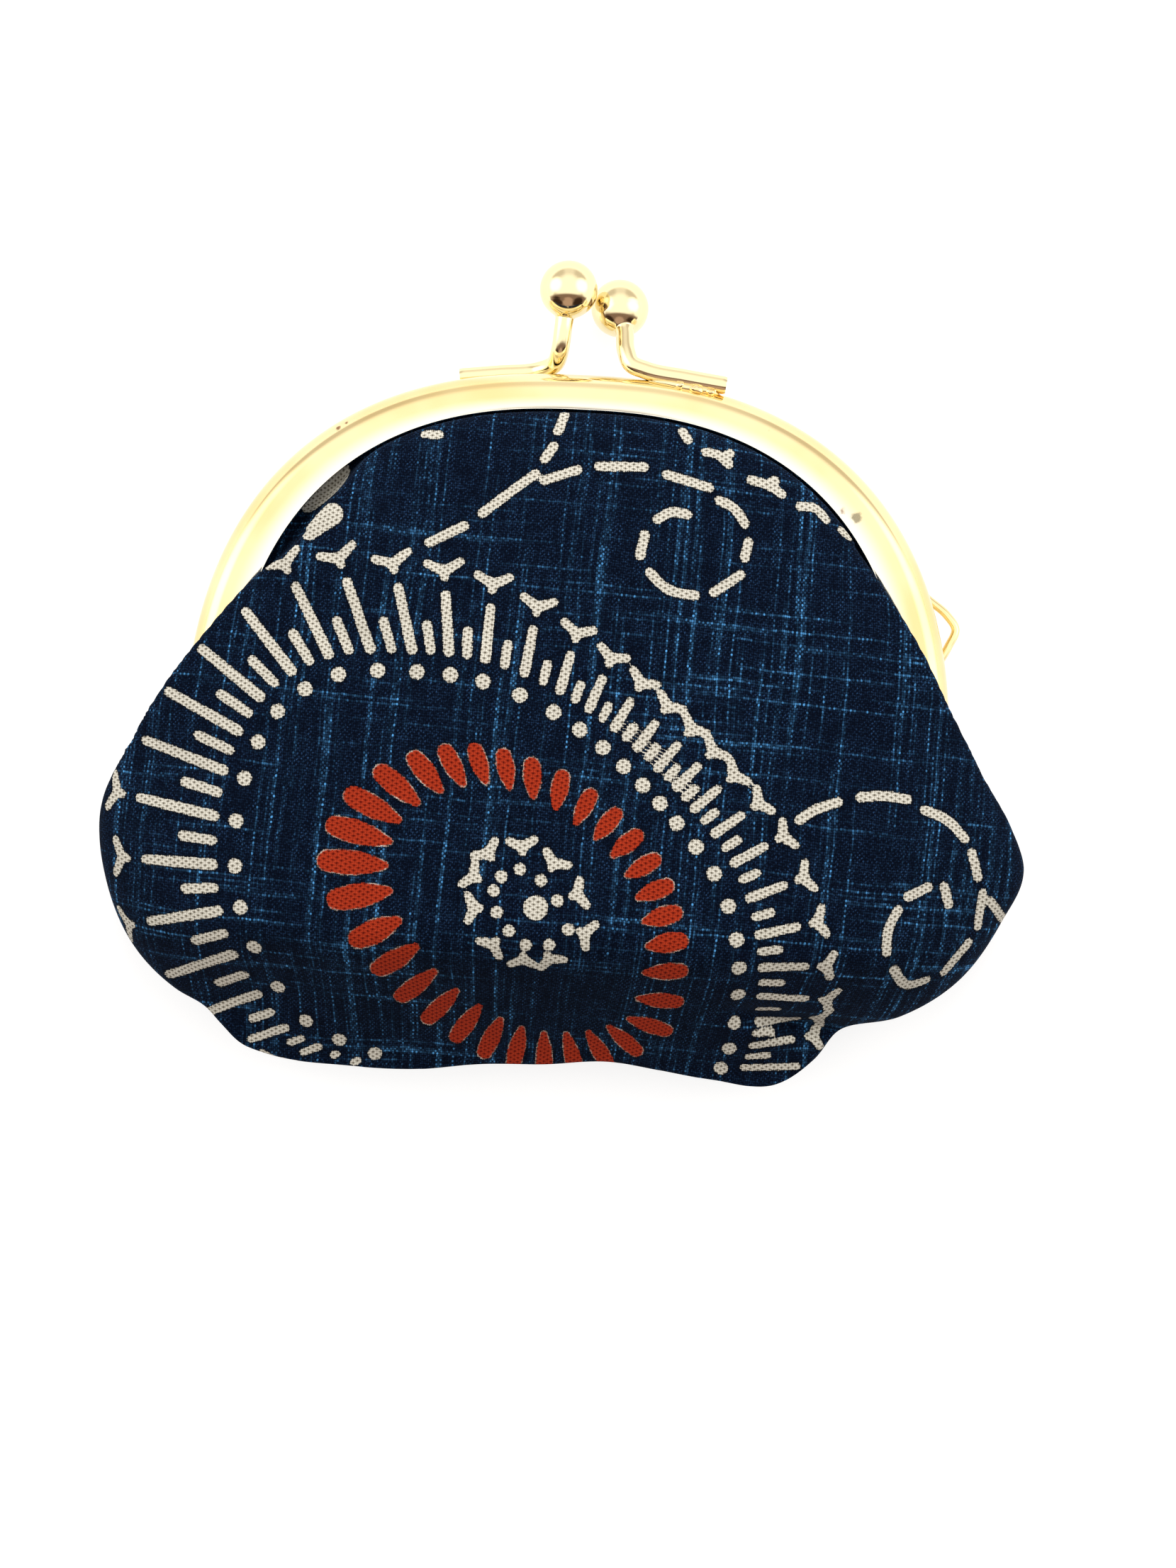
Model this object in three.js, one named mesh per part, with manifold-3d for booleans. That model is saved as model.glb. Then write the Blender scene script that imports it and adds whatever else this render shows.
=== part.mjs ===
// A clasp coin purse lying on its back: a hinged gold frame of two channels, snapped shut by two balls,
// and a cloth bag of two panels whose edges are glued into the channels.
// Millimetres, +Z up, +X to the right, +Y towards the clasp. Every piece is laid out about the centre of
// the frame's arch, and the group then puts the origin under the middle of the purse.
import * as THREE from "three";
import { mergeVertices } from "three/addons/utils/BufferGeometryUtils.js";
import Module from "manifold-3d";

const wasm = await Module();
wasm.setup();

// The frame's arch, a superellipse from the front
const ARCH = { halfWidth: 39.0, rise: 40.1, squareness: 2.454 };
const FLANGE_EDGE = { halfWidth: 34.4, rise: 36.35, squareness: 2.454 };
const ARCH_STEPS = 40;
const LEG_END = 4.5; // height of a channel's open end above the arch's centre line
const PARTING_HEIGHT = 4.5; // of the plane between the two halves
const HALF_CLEARANCE = 0.15; // from that plane to each half
const CHANNEL_THICKNESS = 3.8;
const SHEET = 0.5; // metal of the channel
const EDGE_ROUND = 1.4; // rounded outer edge of the show face
const FLANGE_DROOP = 0.15; // the show face falls this much towards the cloth
const PARTING_CHAMFER = 0.3; // broken outer edge at the parting plane
const EDGE_ROUND_STEPS = 4;

// Clasp wires, balls and side loop
const WIRE_RADIUS = 0.92;
const BALL_RADIUS = 2.95;
const LOOP_WIRE_RADIUS = 0.4;

// Hinges, each a rivet through one ear of either half
const HINGE_Y = 1.4;
const EAR_RADIUS = 2.3;
const EAR_THICKNESS = 0.8;
const EAR_OVERLAP = 2.2; // of an ear with its channel's leg
const EAR_TOP = 3.45; // an ear's edges from the parting plane, where it leaves the leg
const EAR_LOW = 0.45;
const EAR_SHOULDER = 0.9; // below the leg's end, where the ear starts to narrow
const BRIDGE_MARGIN = 0.3; // of the filler behind an inner ear
const PIECE_GAP = 0.3;
const RIVET_RADIUS = 0.75;
const RIVET_HEAD_RADIUS = 1.4;
const RIVET_HEAD_THICKNESS = 0.6;

// Cloth
const WALL = 1.2;
const GROOVE_FACE = 2.75; // outer face of the cloth in a groove, from the parting plane
const NECK_FACE = 3.8; // the same where the cloth leaves the groove
const NECK_INSET = 0.7; // from the flange's edge to the cloth that rises beside it
const GROOVE_DEPTH_LEFT = 1.0; // from the arch's outer edge to the glued edge of the cloth
const SEAM_HEIGHT = 5.45; // middle of the seam between the panels
const SEAM_GAP = 0.6;
const FLAT_MARGIN = 6.5; // from the seam to the part of the back that lies flat
const SEAM_TUCK = 0.2;
const GROOVE_ENTRY = 0.4; // from the neck to where the cloth lies in the groove
const COLUMNS = 90;
const TOP_ROWS = 7;
const INNER_RING = 0.5; // an extra ring at this share of the first row's radius

// The front's edge between its outermost cloth and the neck, one row each: share of the overhang left,
// share of the fall to the neck, and share of the dip round the hinge.
const FRONT_ROLL = [
  { overhang: 0.75, fall: 0.35, dip: 0.15 },
  { overhang: 0.35, fall: 0.7, dip: 0.5 },
];
// The back's edge between its flat part and the neck: inset from the neck, share of the rise and of the dip.
const BACK_RISE = [
  { inset: 3.4, rise: 0, dip: 0.6 },
  { inset: 1.4, rise: 0.45, dip: 0.9 },
];

// Height of the front of the bag: a wedge that thickens away from the clasp, lower towards the sides
const CROWN_HEIGHT = 17.2;
const WEDGE_SLOPE = -0.085;
const SIDE_FALL = 0.0022;

// The bag beyond the frame's crown, one row for a direction from the arch's centre (degrees): reach to the
// outermost cloth, the height of that point, and how squarely the top turns down towards it.
const SIDE_SECTIONS = [
  { angle: 140, reach: 36.1, roll: 9.4, fullness: 2.2 },
  { angle: 150, reach: 36.7, roll: 10.4, fullness: 2.6 },
  { angle: 160, reach: 38.2, roll: 11.3, fullness: 3.4 },
  { angle: 170, reach: 40.9, roll: 10.8, fullness: 4.0 },
  { angle: 180, reach: 44.3, roll: 9.4, fullness: 4.4 },
  { angle: 187, reach: 47.0, roll: 8.0, fullness: 4.6 },
  { angle: 196, reach: 47.8, roll: 7.2, fullness: 4.8 },
  { angle: 206, reach: 47.0, roll: 7.0, fullness: 5.0 },
  { angle: 216, reach: 44.2, roll: 7.0, fullness: 5.0 },
  { angle: 226, reach: 41.9, roll: 7.0, fullness: 5.0 },
  { angle: 236, reach: 37.4, roll: 7.2, fullness: 5.0 },
  { angle: 246, reach: 34.0, roll: 7.4, fullness: 5.0 },
  { angle: 256, reach: 31.2, roll: 7.6, fullness: 5.0 },
  { angle: 268, reach: 30.0, roll: 7.8, fullness: 5.2 },
  { angle: 282, reach: 30.1, roll: 7.8, fullness: 5.2 },
  { angle: 290, reach: 32.0, roll: 7.6, fullness: 5.2 },
  { angle: 298, reach: 34.9, roll: 7.4, fullness: 5.2 },
  { angle: 306, reach: 38.4, roll: 7.2, fullness: 5.0 },
  { angle: 313, reach: 38.8, roll: 7.0, fullness: 5.0 },
  { angle: 319, reach: 38.4, roll: 7.0, fullness: 5.0 },
  { angle: 326, reach: 42.2, roll: 7.0, fullness: 5.0 },
  { angle: 334, reach: 45.2, roll: 7.2, fullness: 4.8 },
  { angle: 343, reach: 46.8, roll: 7.4, fullness: 4.6 },
  { angle: 350, reach: 47.5, roll: 8.2, fullness: 4.6 },
  { angle: 355, reach: 45.4, roll: 9.0, fullness: 4.4 },
  { angle: 360, reach: 42.8, roll: 9.8, fullness: 4.2 },
  { angle: 370, reach: 39.4, roll: 11.0, fullness: 3.8 },
  { angle: 380, reach: 37.8, roll: 11.3, fullness: 3.2 },
  { angle: 390, reach: 36.9, roll: 10.4, fullness: 2.6 },
  { angle: 400, reach: 36.8, roll: 9.4, fullness: 2.2 },
];
const CROWN_SECTION = { roll: 9.1, fullness: 2.1 };

// Folds pressed into the front, one row each: from the bag's edge (x0, y0) to the inner end (x1, y1)
const FOLD_FULL_SHARE = 0.35; // of a fold's length before it starts to fade
const FOLDS = [
  { x0: 30.5, y0: -26.2, x1: 14.5, y1: -21.2, width: 2.4, depth: 2.6 }, // crease at the lower right
  { x0: -36.5, y0: -27.2, x1: -19.0, y1: -20.0, width: 3.0, depth: 1.3 }, // crease at the lower left
  { x0: -46.5, y0: 2.8, x1: -33.0, y1: -5.0, width: 3.4, depth: 1.0 }, // dent beside the left hinge
];

// The cloth edges pass inside the hinges: angle above the centre line, reach inwards, spread (degrees)
const HINGE_DIP = { angle: 1.0, depth: 8.0, spread: 7.0 };
const HINGE_BLEND = { angle: 3.0, spread: 9.0 };

// Middle of the purse in the arch's coordinates
const PURSE_MIDDLE_Y = 10.17;

const GOLD = new THREE.MeshStandardMaterial({ color: 0xe9d08f, metalness: 1.0, roughness: 0.18 });
const INDIGO_COTTON = new THREE.MeshStandardMaterial({ color: 0x24365c, metalness: 0.0, roughness: 0.92 });

const radians = THREE.MathUtils.degToRad;
const lerp = THREE.MathUtils.lerp;

// Distance from the centre to a superellipse in one direction.
function archRadius(arch, angle) {
  const across = Math.abs(Math.cos(angle)) / arch.halfWidth;
  const up = Math.abs(Math.sin(angle)) / arch.rise;
  return (across ** arch.squareness + up ** arch.squareness) ** (-1 / arch.squareness);
}

function polarPoint(angle, radius, height) {
  return new THREE.Vector3(radius * Math.cos(angle), radius * Math.sin(angle), height);
}

// A closed geometry as a solid that can be joined or cut.
function toSolid(geometry) {
  const bare = geometry.clone();
  for (const name of Object.keys(bare.attributes)) {
    if (name !== "position") bare.deleteAttribute(name);
  }
  const merged = mergeVertices(bare, 1e-4);
  return new wasm.Manifold(
    new wasm.Mesh({
      numProp: 3,
      vertProperties: merged.attributes.position.array,
      triVerts: new Uint32Array(merged.index.array),
    }),
  );
}

function toGeometry(solid) {
  const mesh = solid.getMesh();
  const geometry = new THREE.BufferGeometry();
  geometry.setAttribute("position", new THREE.BufferAttribute(mesh.vertProperties, 3));
  geometry.setIndex(new THREE.BufferAttribute(mesh.triVerts, 1));
  geometry.computeVertexNormals();
  return geometry;
}

function joined(geometries) {
  return toGeometry(geometries.map(toSolid).reduce((whole, piece) => whole.add(piece)));
}

// Channel section, from the flange tip at the parting plane round the outside and back along the inside.
// lip 1 measures the inset from the flange's edge, lip 0 from the arch's outer edge.
function channelSection() {
  const top = CHANNEL_THICKNESS;
  const outside = [
    { lip: 1, inset: 0, height: 0 },
    { lip: 0, inset: PARTING_CHAMFER, height: 0 },
    { lip: 0, inset: 0, height: PARTING_CHAMFER },
  ];
  for (let step = 0; step <= EDGE_ROUND_STEPS; step += 1) {
    const turn = (step / EDGE_ROUND_STEPS) * (Math.PI / 2);
    outside.push({
      lip: 0,
      inset: EDGE_ROUND * (1 - Math.cos(turn)),
      height: top - EDGE_ROUND * (1 - Math.sin(turn)),
    });
  }
  const inside = [
    { lip: 1, inset: 0, height: top - FLANGE_DROOP },
    { lip: 1, inset: 0, height: top - FLANGE_DROOP - SHEET },
    { lip: 0, inset: EDGE_ROUND, height: top - SHEET },
    { lip: 0, inset: SHEET, height: top - EDGE_ROUND },
    { lip: 0, inset: SHEET, height: SHEET },
    { lip: 1, inset: 0, height: SHEET },
  ];
  return [...outside, ...inside];
}

// The channel of one half: its section carried round the arch from one leg end to the other.
// side is 1 for the front half and -1 for the back half.
function channelGeometry(side) {
  const section = channelSection();
  const legAngle = Math.asin(LEG_END / archRadius(ARCH, Math.atan2(LEG_END, ARCH.halfWidth)));
  const positions = [];
  for (let step = 0; step <= ARCH_STEPS; step += 1) {
    const angle = lerp(legAngle, Math.PI - legAngle, step / ARCH_STEPS);
    const outer = archRadius(ARCH, angle);
    const flange = archRadius(FLANGE_EDGE, angle);
    for (const { lip, inset, height } of section) {
      const radius = (lip ? flange : outer) - inset;
      positions.push(...polarPoint(angle, radius, PARTING_HEIGHT + side * (HALF_CLEARANCE + height)));
    }
  }
  const count = section.length;
  const triangles = [];
  for (let step = 0; step < ARCH_STEPS; step += 1) {
    for (let corner = 0; corner < count; corner += 1) {
      const near = step * count + corner;
      const next = step * count + ((corner + 1) % count);
      triangles.push([near, next, next + count], [near, next + count, near + count]);
    }
  }
  const flangeDepth = ARCH.halfWidth - FLANGE_EDGE.halfWidth;
  const outline = section.map(
    ({ lip, inset, height }) => new THREE.Vector2(lip * flangeDepth + inset, height),
  );
  const lastRing = ARCH_STEPS * count;
  for (const [a, b, c] of THREE.ShapeUtils.triangulateShape(outline, [])) {
    triangles.push([a, b, c], [lastRing + a, lastRing + c, lastRing + b]);
  }
  return facingOut(positions, triangles);
}

// A closed mesh from corners and triangles, turned so that its faces point outwards.
function facingOut(positions, triangles) {
  const corner = (index) => new THREE.Vector3().fromArray(positions, 3 * index);
  let volume = 0;
  for (const [a, b, c] of triangles) {
    volume += corner(a).dot(corner(b).cross(corner(c)));
  }
  const index = triangles.flatMap(([a, b, c]) => (volume > 0 ? [a, b, c] : [a, c, b]));
  const geometry = new THREE.BufferGeometry();
  geometry.setAttribute("position", new THREE.Float32BufferAttribute(positions, 3));
  geometry.setIndex(index);
  return geometry;
}

// A round wire bent along points.
function wireGeometry(points, radius, steps, sides) {
  const path = new THREE.CatmullRomCurve3(points, false, "centripetal");
  const round = new THREE.Shape();
  for (let side = 0; side < sides; side += 1) {
    const turn = (side / sides) * 2 * Math.PI;
    const place = [radius * Math.cos(turn), radius * Math.sin(turn)];
    if (side === 0) round.moveTo(...place);
    else round.lineTo(...place);
  }
  return new THREE.ExtrudeGeometry(round, { steps, extrudePath: path, bevelEnabled: false });
}

function ballGeometry(centre) {
  return new THREE.SphereGeometry(BALL_RADIUS, 16, 10).rotateX(Math.PI / 2).translate(...centre);
}

// Where the back half's ears lie, inside the front half's
const FRONT_EAR_X = ARCH.halfWidth - EAR_THICKNESS;
const BACK_EAR_X = FRONT_EAR_X - PIECE_GAP - EAR_THICKNESS;

// One ear: a plate across X that comes down from a leg and rounds off about the rivet.
// start is its nearer face along X; hand is 1 on the right and -1 on the left.
// The back half's ear is the front half's turned over.
function earGeometry(side, hand, start) {
  const plate = new THREE.Shape();
  plate.moveTo(LEG_END + EAR_OVERLAP, EAR_LOW);
  plate.lineTo(LEG_END + EAR_OVERLAP, EAR_TOP);
  plate.lineTo(LEG_END - EAR_SHOULDER, EAR_TOP);
  plate.absarc(HINGE_Y, 0, EAR_RADIUS, radians(60), radians(335), false);
  plate.lineTo(LEG_END - EAR_SHOULDER / 2, EAR_LOW);
  const hole = new THREE.Path();
  hole.absarc(HINGE_Y, 0, RIVET_RADIUS + PIECE_GAP, 0, 2 * Math.PI, true);
  plate.holes.push(hole);
  const ear = new THREE.ExtrudeGeometry(plate, {
    depth: EAR_THICKNESS,
    bevelEnabled: false,
    curveSegments: 6,
  });
  const shapeToYZ = new THREE.Matrix4().makeBasis(
    new THREE.Vector3(0, 1, 0),
    new THREE.Vector3(0, 0, 1),
    new THREE.Vector3(1, 0, 0),
  );
  ear.applyMatrix4(shapeToYZ).translate(-EAR_THICKNESS / 2, 0, 0);
  if (side < 0) ear.rotateY(Math.PI);
  return ear.translate(hand * (start + EAR_THICKNESS / 2), 0, PARTING_HEIGHT);
}

// A filler that carries an inner ear from the leg's outer wall.
function earBridgeGeometry(side, hand) {
  const width = FRONT_EAR_X + BRIDGE_MARGIN - BACK_EAR_X;
  const length = EAR_OVERLAP - 2 * BRIDGE_MARGIN;
  const height = EAR_TOP - EAR_LOW - 2 * BRIDGE_MARGIN;
  const bridge = new THREE.BoxGeometry(width, length, height);
  const middleX = hand * (BACK_EAR_X + width / 2);
  const middleZ = PARTING_HEIGHT + (side * (EAR_TOP + EAR_LOW)) / 2;
  return bridge.translate(middleX, LEG_END + EAR_OVERLAP / 2, middleZ);
}

// Front half: its wire lies on the crown to the right and leans back to a ball behind the other one.
function frontFrame() {
  const ball = new THREE.Vector3(3.5, 47.4, 3.02);
  const wire = [
    new THREE.Vector3(14.6, 39.55, 6.7),
    new THREE.Vector3(10.5, 40.1, 6.7),
    new THREE.Vector3(6.4, 40.75, 6.7),
    new THREE.Vector3(4.9, 41.35, 6.55),
    new THREE.Vector3(4.3, 42.7, 6.0),
    new THREE.Vector3(4.1, 44.6, 4.9),
    ball,
  ];
  return joined([
    channelGeometry(1),
    wireGeometry(wire, WIRE_RADIUS, 16, 8),
    ballGeometry(ball),
    earGeometry(1, 1, FRONT_EAR_X),
    earGeometry(1, -1, FRONT_EAR_X),
  ]);
}

// Back half: its wire lies on the crown to the left and leans forward to the front ball, and a small
// wire loop for a chain is soldered to the right side.
function backFrame() {
  const ball = new THREE.Vector3(-1.8, 48.7, 5.98);
  const wire = [
    new THREE.Vector3(-12.6, 39.7, 2.3),
    new THREE.Vector3(-8.5, 40.2, 2.3),
    new THREE.Vector3(-4.6, 40.7, 2.3),
    new THREE.Vector3(-3.0, 41.3, 2.45),
    new THREE.Vector3(-2.4, 42.7, 2.9),
    new THREE.Vector3(-2.2, 44.6, 4.1),
    ball,
  ];
  const loop = [
    new THREE.Vector3(35.75, 19.55, 2.5),
    new THREE.Vector3(36.6, 18.9, 2.5),
    new THREE.Vector3(38.4, 17.5, 2.5),
    new THREE.Vector3(39.35, 16.1, 2.5),
    new THREE.Vector3(38.7, 14.3, 2.5),
    new THREE.Vector3(37.6, 12.2, 2.5),
  ];
  return joined([
    channelGeometry(-1),
    wireGeometry(wire, WIRE_RADIUS, 16, 8),
    ballGeometry(ball),
    wireGeometry(loop, LOOP_WIRE_RADIUS, 12, 6),
    earGeometry(-1, 1, BACK_EAR_X),
    earGeometry(-1, -1, BACK_EAR_X),
    earBridgeGeometry(-1, 1),
    earBridgeGeometry(-1, -1),
  ]);
}

// A rivet along X through both ears, with a domed head outside.
function rivetGeometry(hand) {
  const innerEnd = BACK_EAR_X;
  const headStart = ARCH.halfWidth + PIECE_GAP;
  const profile = [
    new THREE.Vector2(0, innerEnd),
    new THREE.Vector2(RIVET_RADIUS, innerEnd),
    new THREE.Vector2(RIVET_RADIUS, headStart),
    new THREE.Vector2(RIVET_HEAD_RADIUS, headStart),
    new THREE.Vector2(RIVET_HEAD_RADIUS * 0.8, headStart + RIVET_HEAD_THICKNESS * 0.7),
    new THREE.Vector2(0, headStart + RIVET_HEAD_THICKNESS),
  ];
  const rivet = new THREE.LatheGeometry(profile, 14).rotateZ(-hand * (Math.PI / 2));
  return toGeometry(toSolid(rivet.translate(0, HINGE_Y, PARTING_HEIGHT)));
}

// A smooth value of one column of the section table at an angle in degrees.
function tableValue(column, degrees) {
  const last = SIDE_SECTIONS.length - 1;
  const found = SIDE_SECTIONS.findIndex((row) => row.angle >= degrees);
  const after = THREE.MathUtils.clamp(found, 1, last);
  const rows = [after - 2, after - 1, after, after + 1].map(
    (row) => SIDE_SECTIONS[THREE.MathUtils.clamp(row, 0, last)],
  );
  const [before, from, to, beyond] = rows;
  const span = to.angle - from.angle;
  const slope = (a, b) => (a === b ? 0 : (b[column] - a[column]) / (b.angle - a.angle));
  const part = (degrees - from.angle) / span;
  const straight = lerp(from[column], to[column], part);
  const bendFrom = (slope(before, to) * span - (to[column] - from[column])) * part * (1 - part) ** 2;
  const bendTo = (to[column] - from[column] - slope(from, beyond) * span) * part ** 2 * (1 - part);
  return straight + bendFrom + bendTo;
}

// The bag's outline in one direction: reach, height of the outermost cloth, and fullness.
function sideSection(angle) {
  const degrees = THREE.MathUtils.radToDeg(angle);
  const first = SIDE_SECTIONS[0].angle;
  const last = SIDE_SECTIONS[SIDE_SECTIONS.length - 1].angle;
  const around = THREE.MathUtils.euclideanModulo(degrees - first, 360) + first;
  if (around <= last) {
    const [reach, roll, fullness] = ["reach", "roll", "fullness"].map((name) => tableValue(name, around));
    return { reach, roll, fullness };
  }
  return { reach: archRadius(FLANGE_EDGE, angle) - NECK_INSET, ...CROWN_SECTION };
}

// How far a direction is above the hinge line, in degrees, the same on both sides.
function degreesAboveCentre(angle) {
  return THREE.MathUtils.radToDeg(Math.asin(Math.sin(angle)));
}

// 1 where the cloth's edge is in a channel, 0 where the panels are sewn together.
function inChannel(angle) {
  const past = degreesAboveCentre(angle) - HINGE_BLEND.angle;
  return THREE.MathUtils.smoothstep(past, -HINGE_BLEND.spread, HINGE_BLEND.spread);
}

function hingeDip(angle) {
  const past = (degreesAboveCentre(angle) - HINGE_DIP.angle) / HINGE_DIP.spread;
  return HINGE_DIP.depth * Math.exp(-past * past);
}

// How far the folds press a place on the front down.
function foldDepth(x, y) {
  let sum = 0;
  for (const { x0, y0, x1, y1, width, depth } of FOLDS) {
    const alongX = x1 - x0;
    const alongY = y1 - y0;
    const length = Math.hypot(alongX, alongY);
    const along = ((x - x0) * alongX + (y - y0) * alongY) / (length * length);
    const away = ((x - x0) * alongY - (y - y0) * alongX) / length;
    const fade = 1 - THREE.MathUtils.smoothstep(along, FOLD_FULL_SHARE, 1);
    sum += depth * fade * Math.exp(-((away / width) ** 2));
  }
  return sum;
}

// Outer face of the front panel in one direction, as rows from the crown to the glued or sewn edge.
function frontRows(angle) {
  const { reach, roll, fullness } = sideSection(angle);
  const rows = [];
  for (let row = 1; row <= TOP_ROWS; row += 1) {
    const turn = (row / TOP_ROWS) * (Math.PI / 2);
    const share = Math.sin(turn) ** (2 / fullness);
    for (const part of row === 1 ? [INNER_RING * share, share] : [share]) {
      const x = part * reach * Math.cos(angle);
      const y = part * reach * Math.sin(angle);
      const plane = CROWN_HEIGHT + WEDGE_SLOPE * y - SIDE_FALL * x * x;
      const lift = Math.sqrt(Math.max(0, 1 - part ** fullness));
      rows.push({ radius: part * reach, height: roll + (plane - roll - foldDepth(x, y)) * lift });
    }
  }
  const neck = archRadius(FLANGE_EDGE, angle) - NECK_INSET;
  const neckHeight = PARTING_HEIGHT + NECK_FACE;
  const inGroove = FRONT_ROLL.map(({ overhang, fall, dip }) => ({
    radius: lerp(neck, reach, overhang),
    height: lerp(roll, neckHeight, fall),
    dip,
  }));
  inGroove.push({ radius: neck, height: neckHeight, dip: 1 }, ...gluedEdge(angle, neck, 1));
  const seamTop = SEAM_HEIGHT + SEAM_GAP / 2;
  inGroove.forEach((groove, row) => {
    const share = (row + 1) / inGroove.length;
    const seam = { radius: reach - SEAM_TUCK * share * share, height: lerp(roll, seamTop, share) };
    rows.push(blendAtHinge(angle, seam, groove));
  });
  return rows;
}

// The last two rows of a panel, where its edge lies in the groove of the front (side 1) or back half.
function gluedEdge(angle, neck, side) {
  const height = PARTING_HEIGHT + side * GROOVE_FACE;
  return [
    { radius: neck + GROOVE_ENTRY, height, dip: 1 },
    { radius: archRadius(ARCH, angle) - GROOVE_DEPTH_LEFT, height, dip: 1 },
  ];
}

// A row of the cloth's edge: sewn below the hinges, in the groove above them, and drawn in past the ears.
function blendAtHinge(angle, seam, groove) {
  const weight = inChannel(angle);
  return {
    radius: lerp(seam.radius, groove.radius, weight) - groove.dip * hingeDip(angle),
    height: lerp(seam.height, groove.height, weight),
  };
}

// Outer face of the back panel in one direction, from its middle to its edge; it lies flat in between.
function backRows(angle) {
  const { reach } = sideSection(angle);
  const neck = archRadius(FLANGE_EDGE, angle) - NECK_INSET;
  const neckHeight = PARTING_HEIGHT - NECK_FACE;
  const inGroove = BACK_RISE.map(({ inset, rise, dip }) => ({
    radius: neck - inset,
    height: rise * neckHeight,
    dip,
  }));
  inGroove.push({ radius: neck, height: neckHeight, dip: 1 }, ...gluedEdge(angle, neck, -1));
  const seamLow = SEAM_HEIGHT - SEAM_GAP / 2;
  const edge = inGroove.map((groove, row) => {
    const turn = (row / (inGroove.length - 1)) * (Math.PI / 2);
    const seam = {
      radius: reach - SEAM_TUCK - FLAT_MARGIN * (1 - Math.sin(turn)),
      height: seamLow * (1 - Math.cos(turn)),
    };
    return blendAtHinge(angle, seam, groove);
  });
  return [{ radius: INNER_RING * edge[0].radius, height: 0 }, ...edge];
}

// A cloth wall: the outer face from its rows in every direction, and an inner face one wall inside it.
function panelGeometry(rowsAt, poleHeight, poleUp) {
  const columns = [];
  for (let column = 0; column < COLUMNS; column += 1) {
    columns.push((column / COLUMNS) * 2 * Math.PI);
  }
  const sections = columns.map(rowsAt);
  const rowCount = sections[0].length;
  const outer = [0, 0, poleHeight];
  for (let row = 0; row < rowCount; row += 1) {
    columns.forEach((angle, column) => {
      const { radius, height } = sections[column][row];
      outer.push(...polarPoint(angle, radius, height));
    });
  }
  const place = (row, column) => 1 + row * COLUMNS + (column % COLUMNS);
  const face = [];
  for (let column = 0; column < COLUMNS; column += 1) {
    face.push([0, place(0, column), place(0, column + 1)]);
    for (let row = 0; row + 1 < rowCount; row += 1) {
      const near = [place(row, column), place(row, column + 1)];
      const far = [place(row + 1, column), place(row + 1, column + 1)];
      face.push([near[0], far[0], far[1]], [near[0], far[1], near[1]]);
    }
  }
  const outward = poleUp > 0 ? face : face.map(([a, b, c]) => [a, c, b]);
  const skin = new THREE.BufferGeometry();
  skin.setAttribute("position", new THREE.Float32BufferAttribute(outer, 3));
  skin.setIndex(outward.flat());
  skin.computeVertexNormals();
  const normals = skin.getAttribute("normal").array;
  const inner = outer.map((value, index) => value - WALL * normals[index]);
  const count = outer.length / 3;
  const triangles = [...outward, ...outward.map(([a, b, c]) => [count + a, count + c, count + b])];
  for (let column = 0; column < COLUMNS; column += 1) {
    const rim = [place(rowCount - 1, column), place(rowCount - 1, column + 1)];
    const quad = [
      [rim[0], count + rim[0], count + rim[1]],
      [rim[0], count + rim[1], rim[1]],
    ];
    triangles.push(...(poleUp > 0 ? quad : quad.map(([a, b, c]) => [a, c, b])));
  }
  return facingOut([...outer, ...inner], triangles);
}

function piece(name, geometry, material) {
  const mesh = new THREE.Mesh(geometry, material);
  mesh.name = name;
  return mesh;
}

const purse = new THREE.Group();
purse.add(
  piece("front_frame", frontFrame(), GOLD),
  piece("back_frame", backFrame(), GOLD),
  piece("hinge_rivet_left", rivetGeometry(-1), GOLD),
  piece("hinge_rivet_right", rivetGeometry(1), GOLD),
  piece("front_panel", panelGeometry(frontRows, CROWN_HEIGHT, 1), INDIGO_COTTON),
  piece("back_panel", panelGeometry(backRows, 0, -1), INDIGO_COTTON),
);
purse.position.y = -PURSE_MIDDLE_Y;

export default purse;
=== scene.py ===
# The looks of a clasp coin purse that lies on its back: a gilt snap frame and a printed cotton bag,
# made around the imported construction. Metres, +Z up, +X to the right, +Y towards the clasp.
import math

import bpy
import numpy as np
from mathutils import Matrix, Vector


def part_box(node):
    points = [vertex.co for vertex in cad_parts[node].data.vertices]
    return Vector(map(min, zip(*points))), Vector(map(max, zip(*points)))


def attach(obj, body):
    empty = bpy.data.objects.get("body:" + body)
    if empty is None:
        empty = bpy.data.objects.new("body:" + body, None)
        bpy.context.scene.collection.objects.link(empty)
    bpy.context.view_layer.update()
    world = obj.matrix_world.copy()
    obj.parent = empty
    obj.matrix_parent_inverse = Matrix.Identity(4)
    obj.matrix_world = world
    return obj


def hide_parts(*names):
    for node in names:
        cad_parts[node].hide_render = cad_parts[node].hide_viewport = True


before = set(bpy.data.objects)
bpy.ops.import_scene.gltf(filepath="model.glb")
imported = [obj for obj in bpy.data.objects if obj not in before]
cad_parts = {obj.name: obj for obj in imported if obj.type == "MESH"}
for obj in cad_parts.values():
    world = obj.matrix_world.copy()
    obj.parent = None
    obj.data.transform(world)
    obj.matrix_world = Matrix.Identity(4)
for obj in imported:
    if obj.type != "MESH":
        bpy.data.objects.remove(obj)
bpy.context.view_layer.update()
scene = bpy.context.scene

# Camera: it looks straight down at the lying purse from about an arm's length and is turned a little,
# so that the purse lies slightly clockwise in the picture.
MM = 0.001
PICTURE_HEIGHT = 158.95  # mm of the table that the picture's 2212 pixels cover at the frame's show face
CAMERA_AIM = (2.40, -11.60)  # mm
CAMERA_DISTANCE = 360.0  # mm above the frame's show face
SHOW_FACE_HEIGHT = 6.9  # mm
CAMERA_TURN = 2.5553  # degrees
SENSOR_HEIGHT = 36.0

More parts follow.
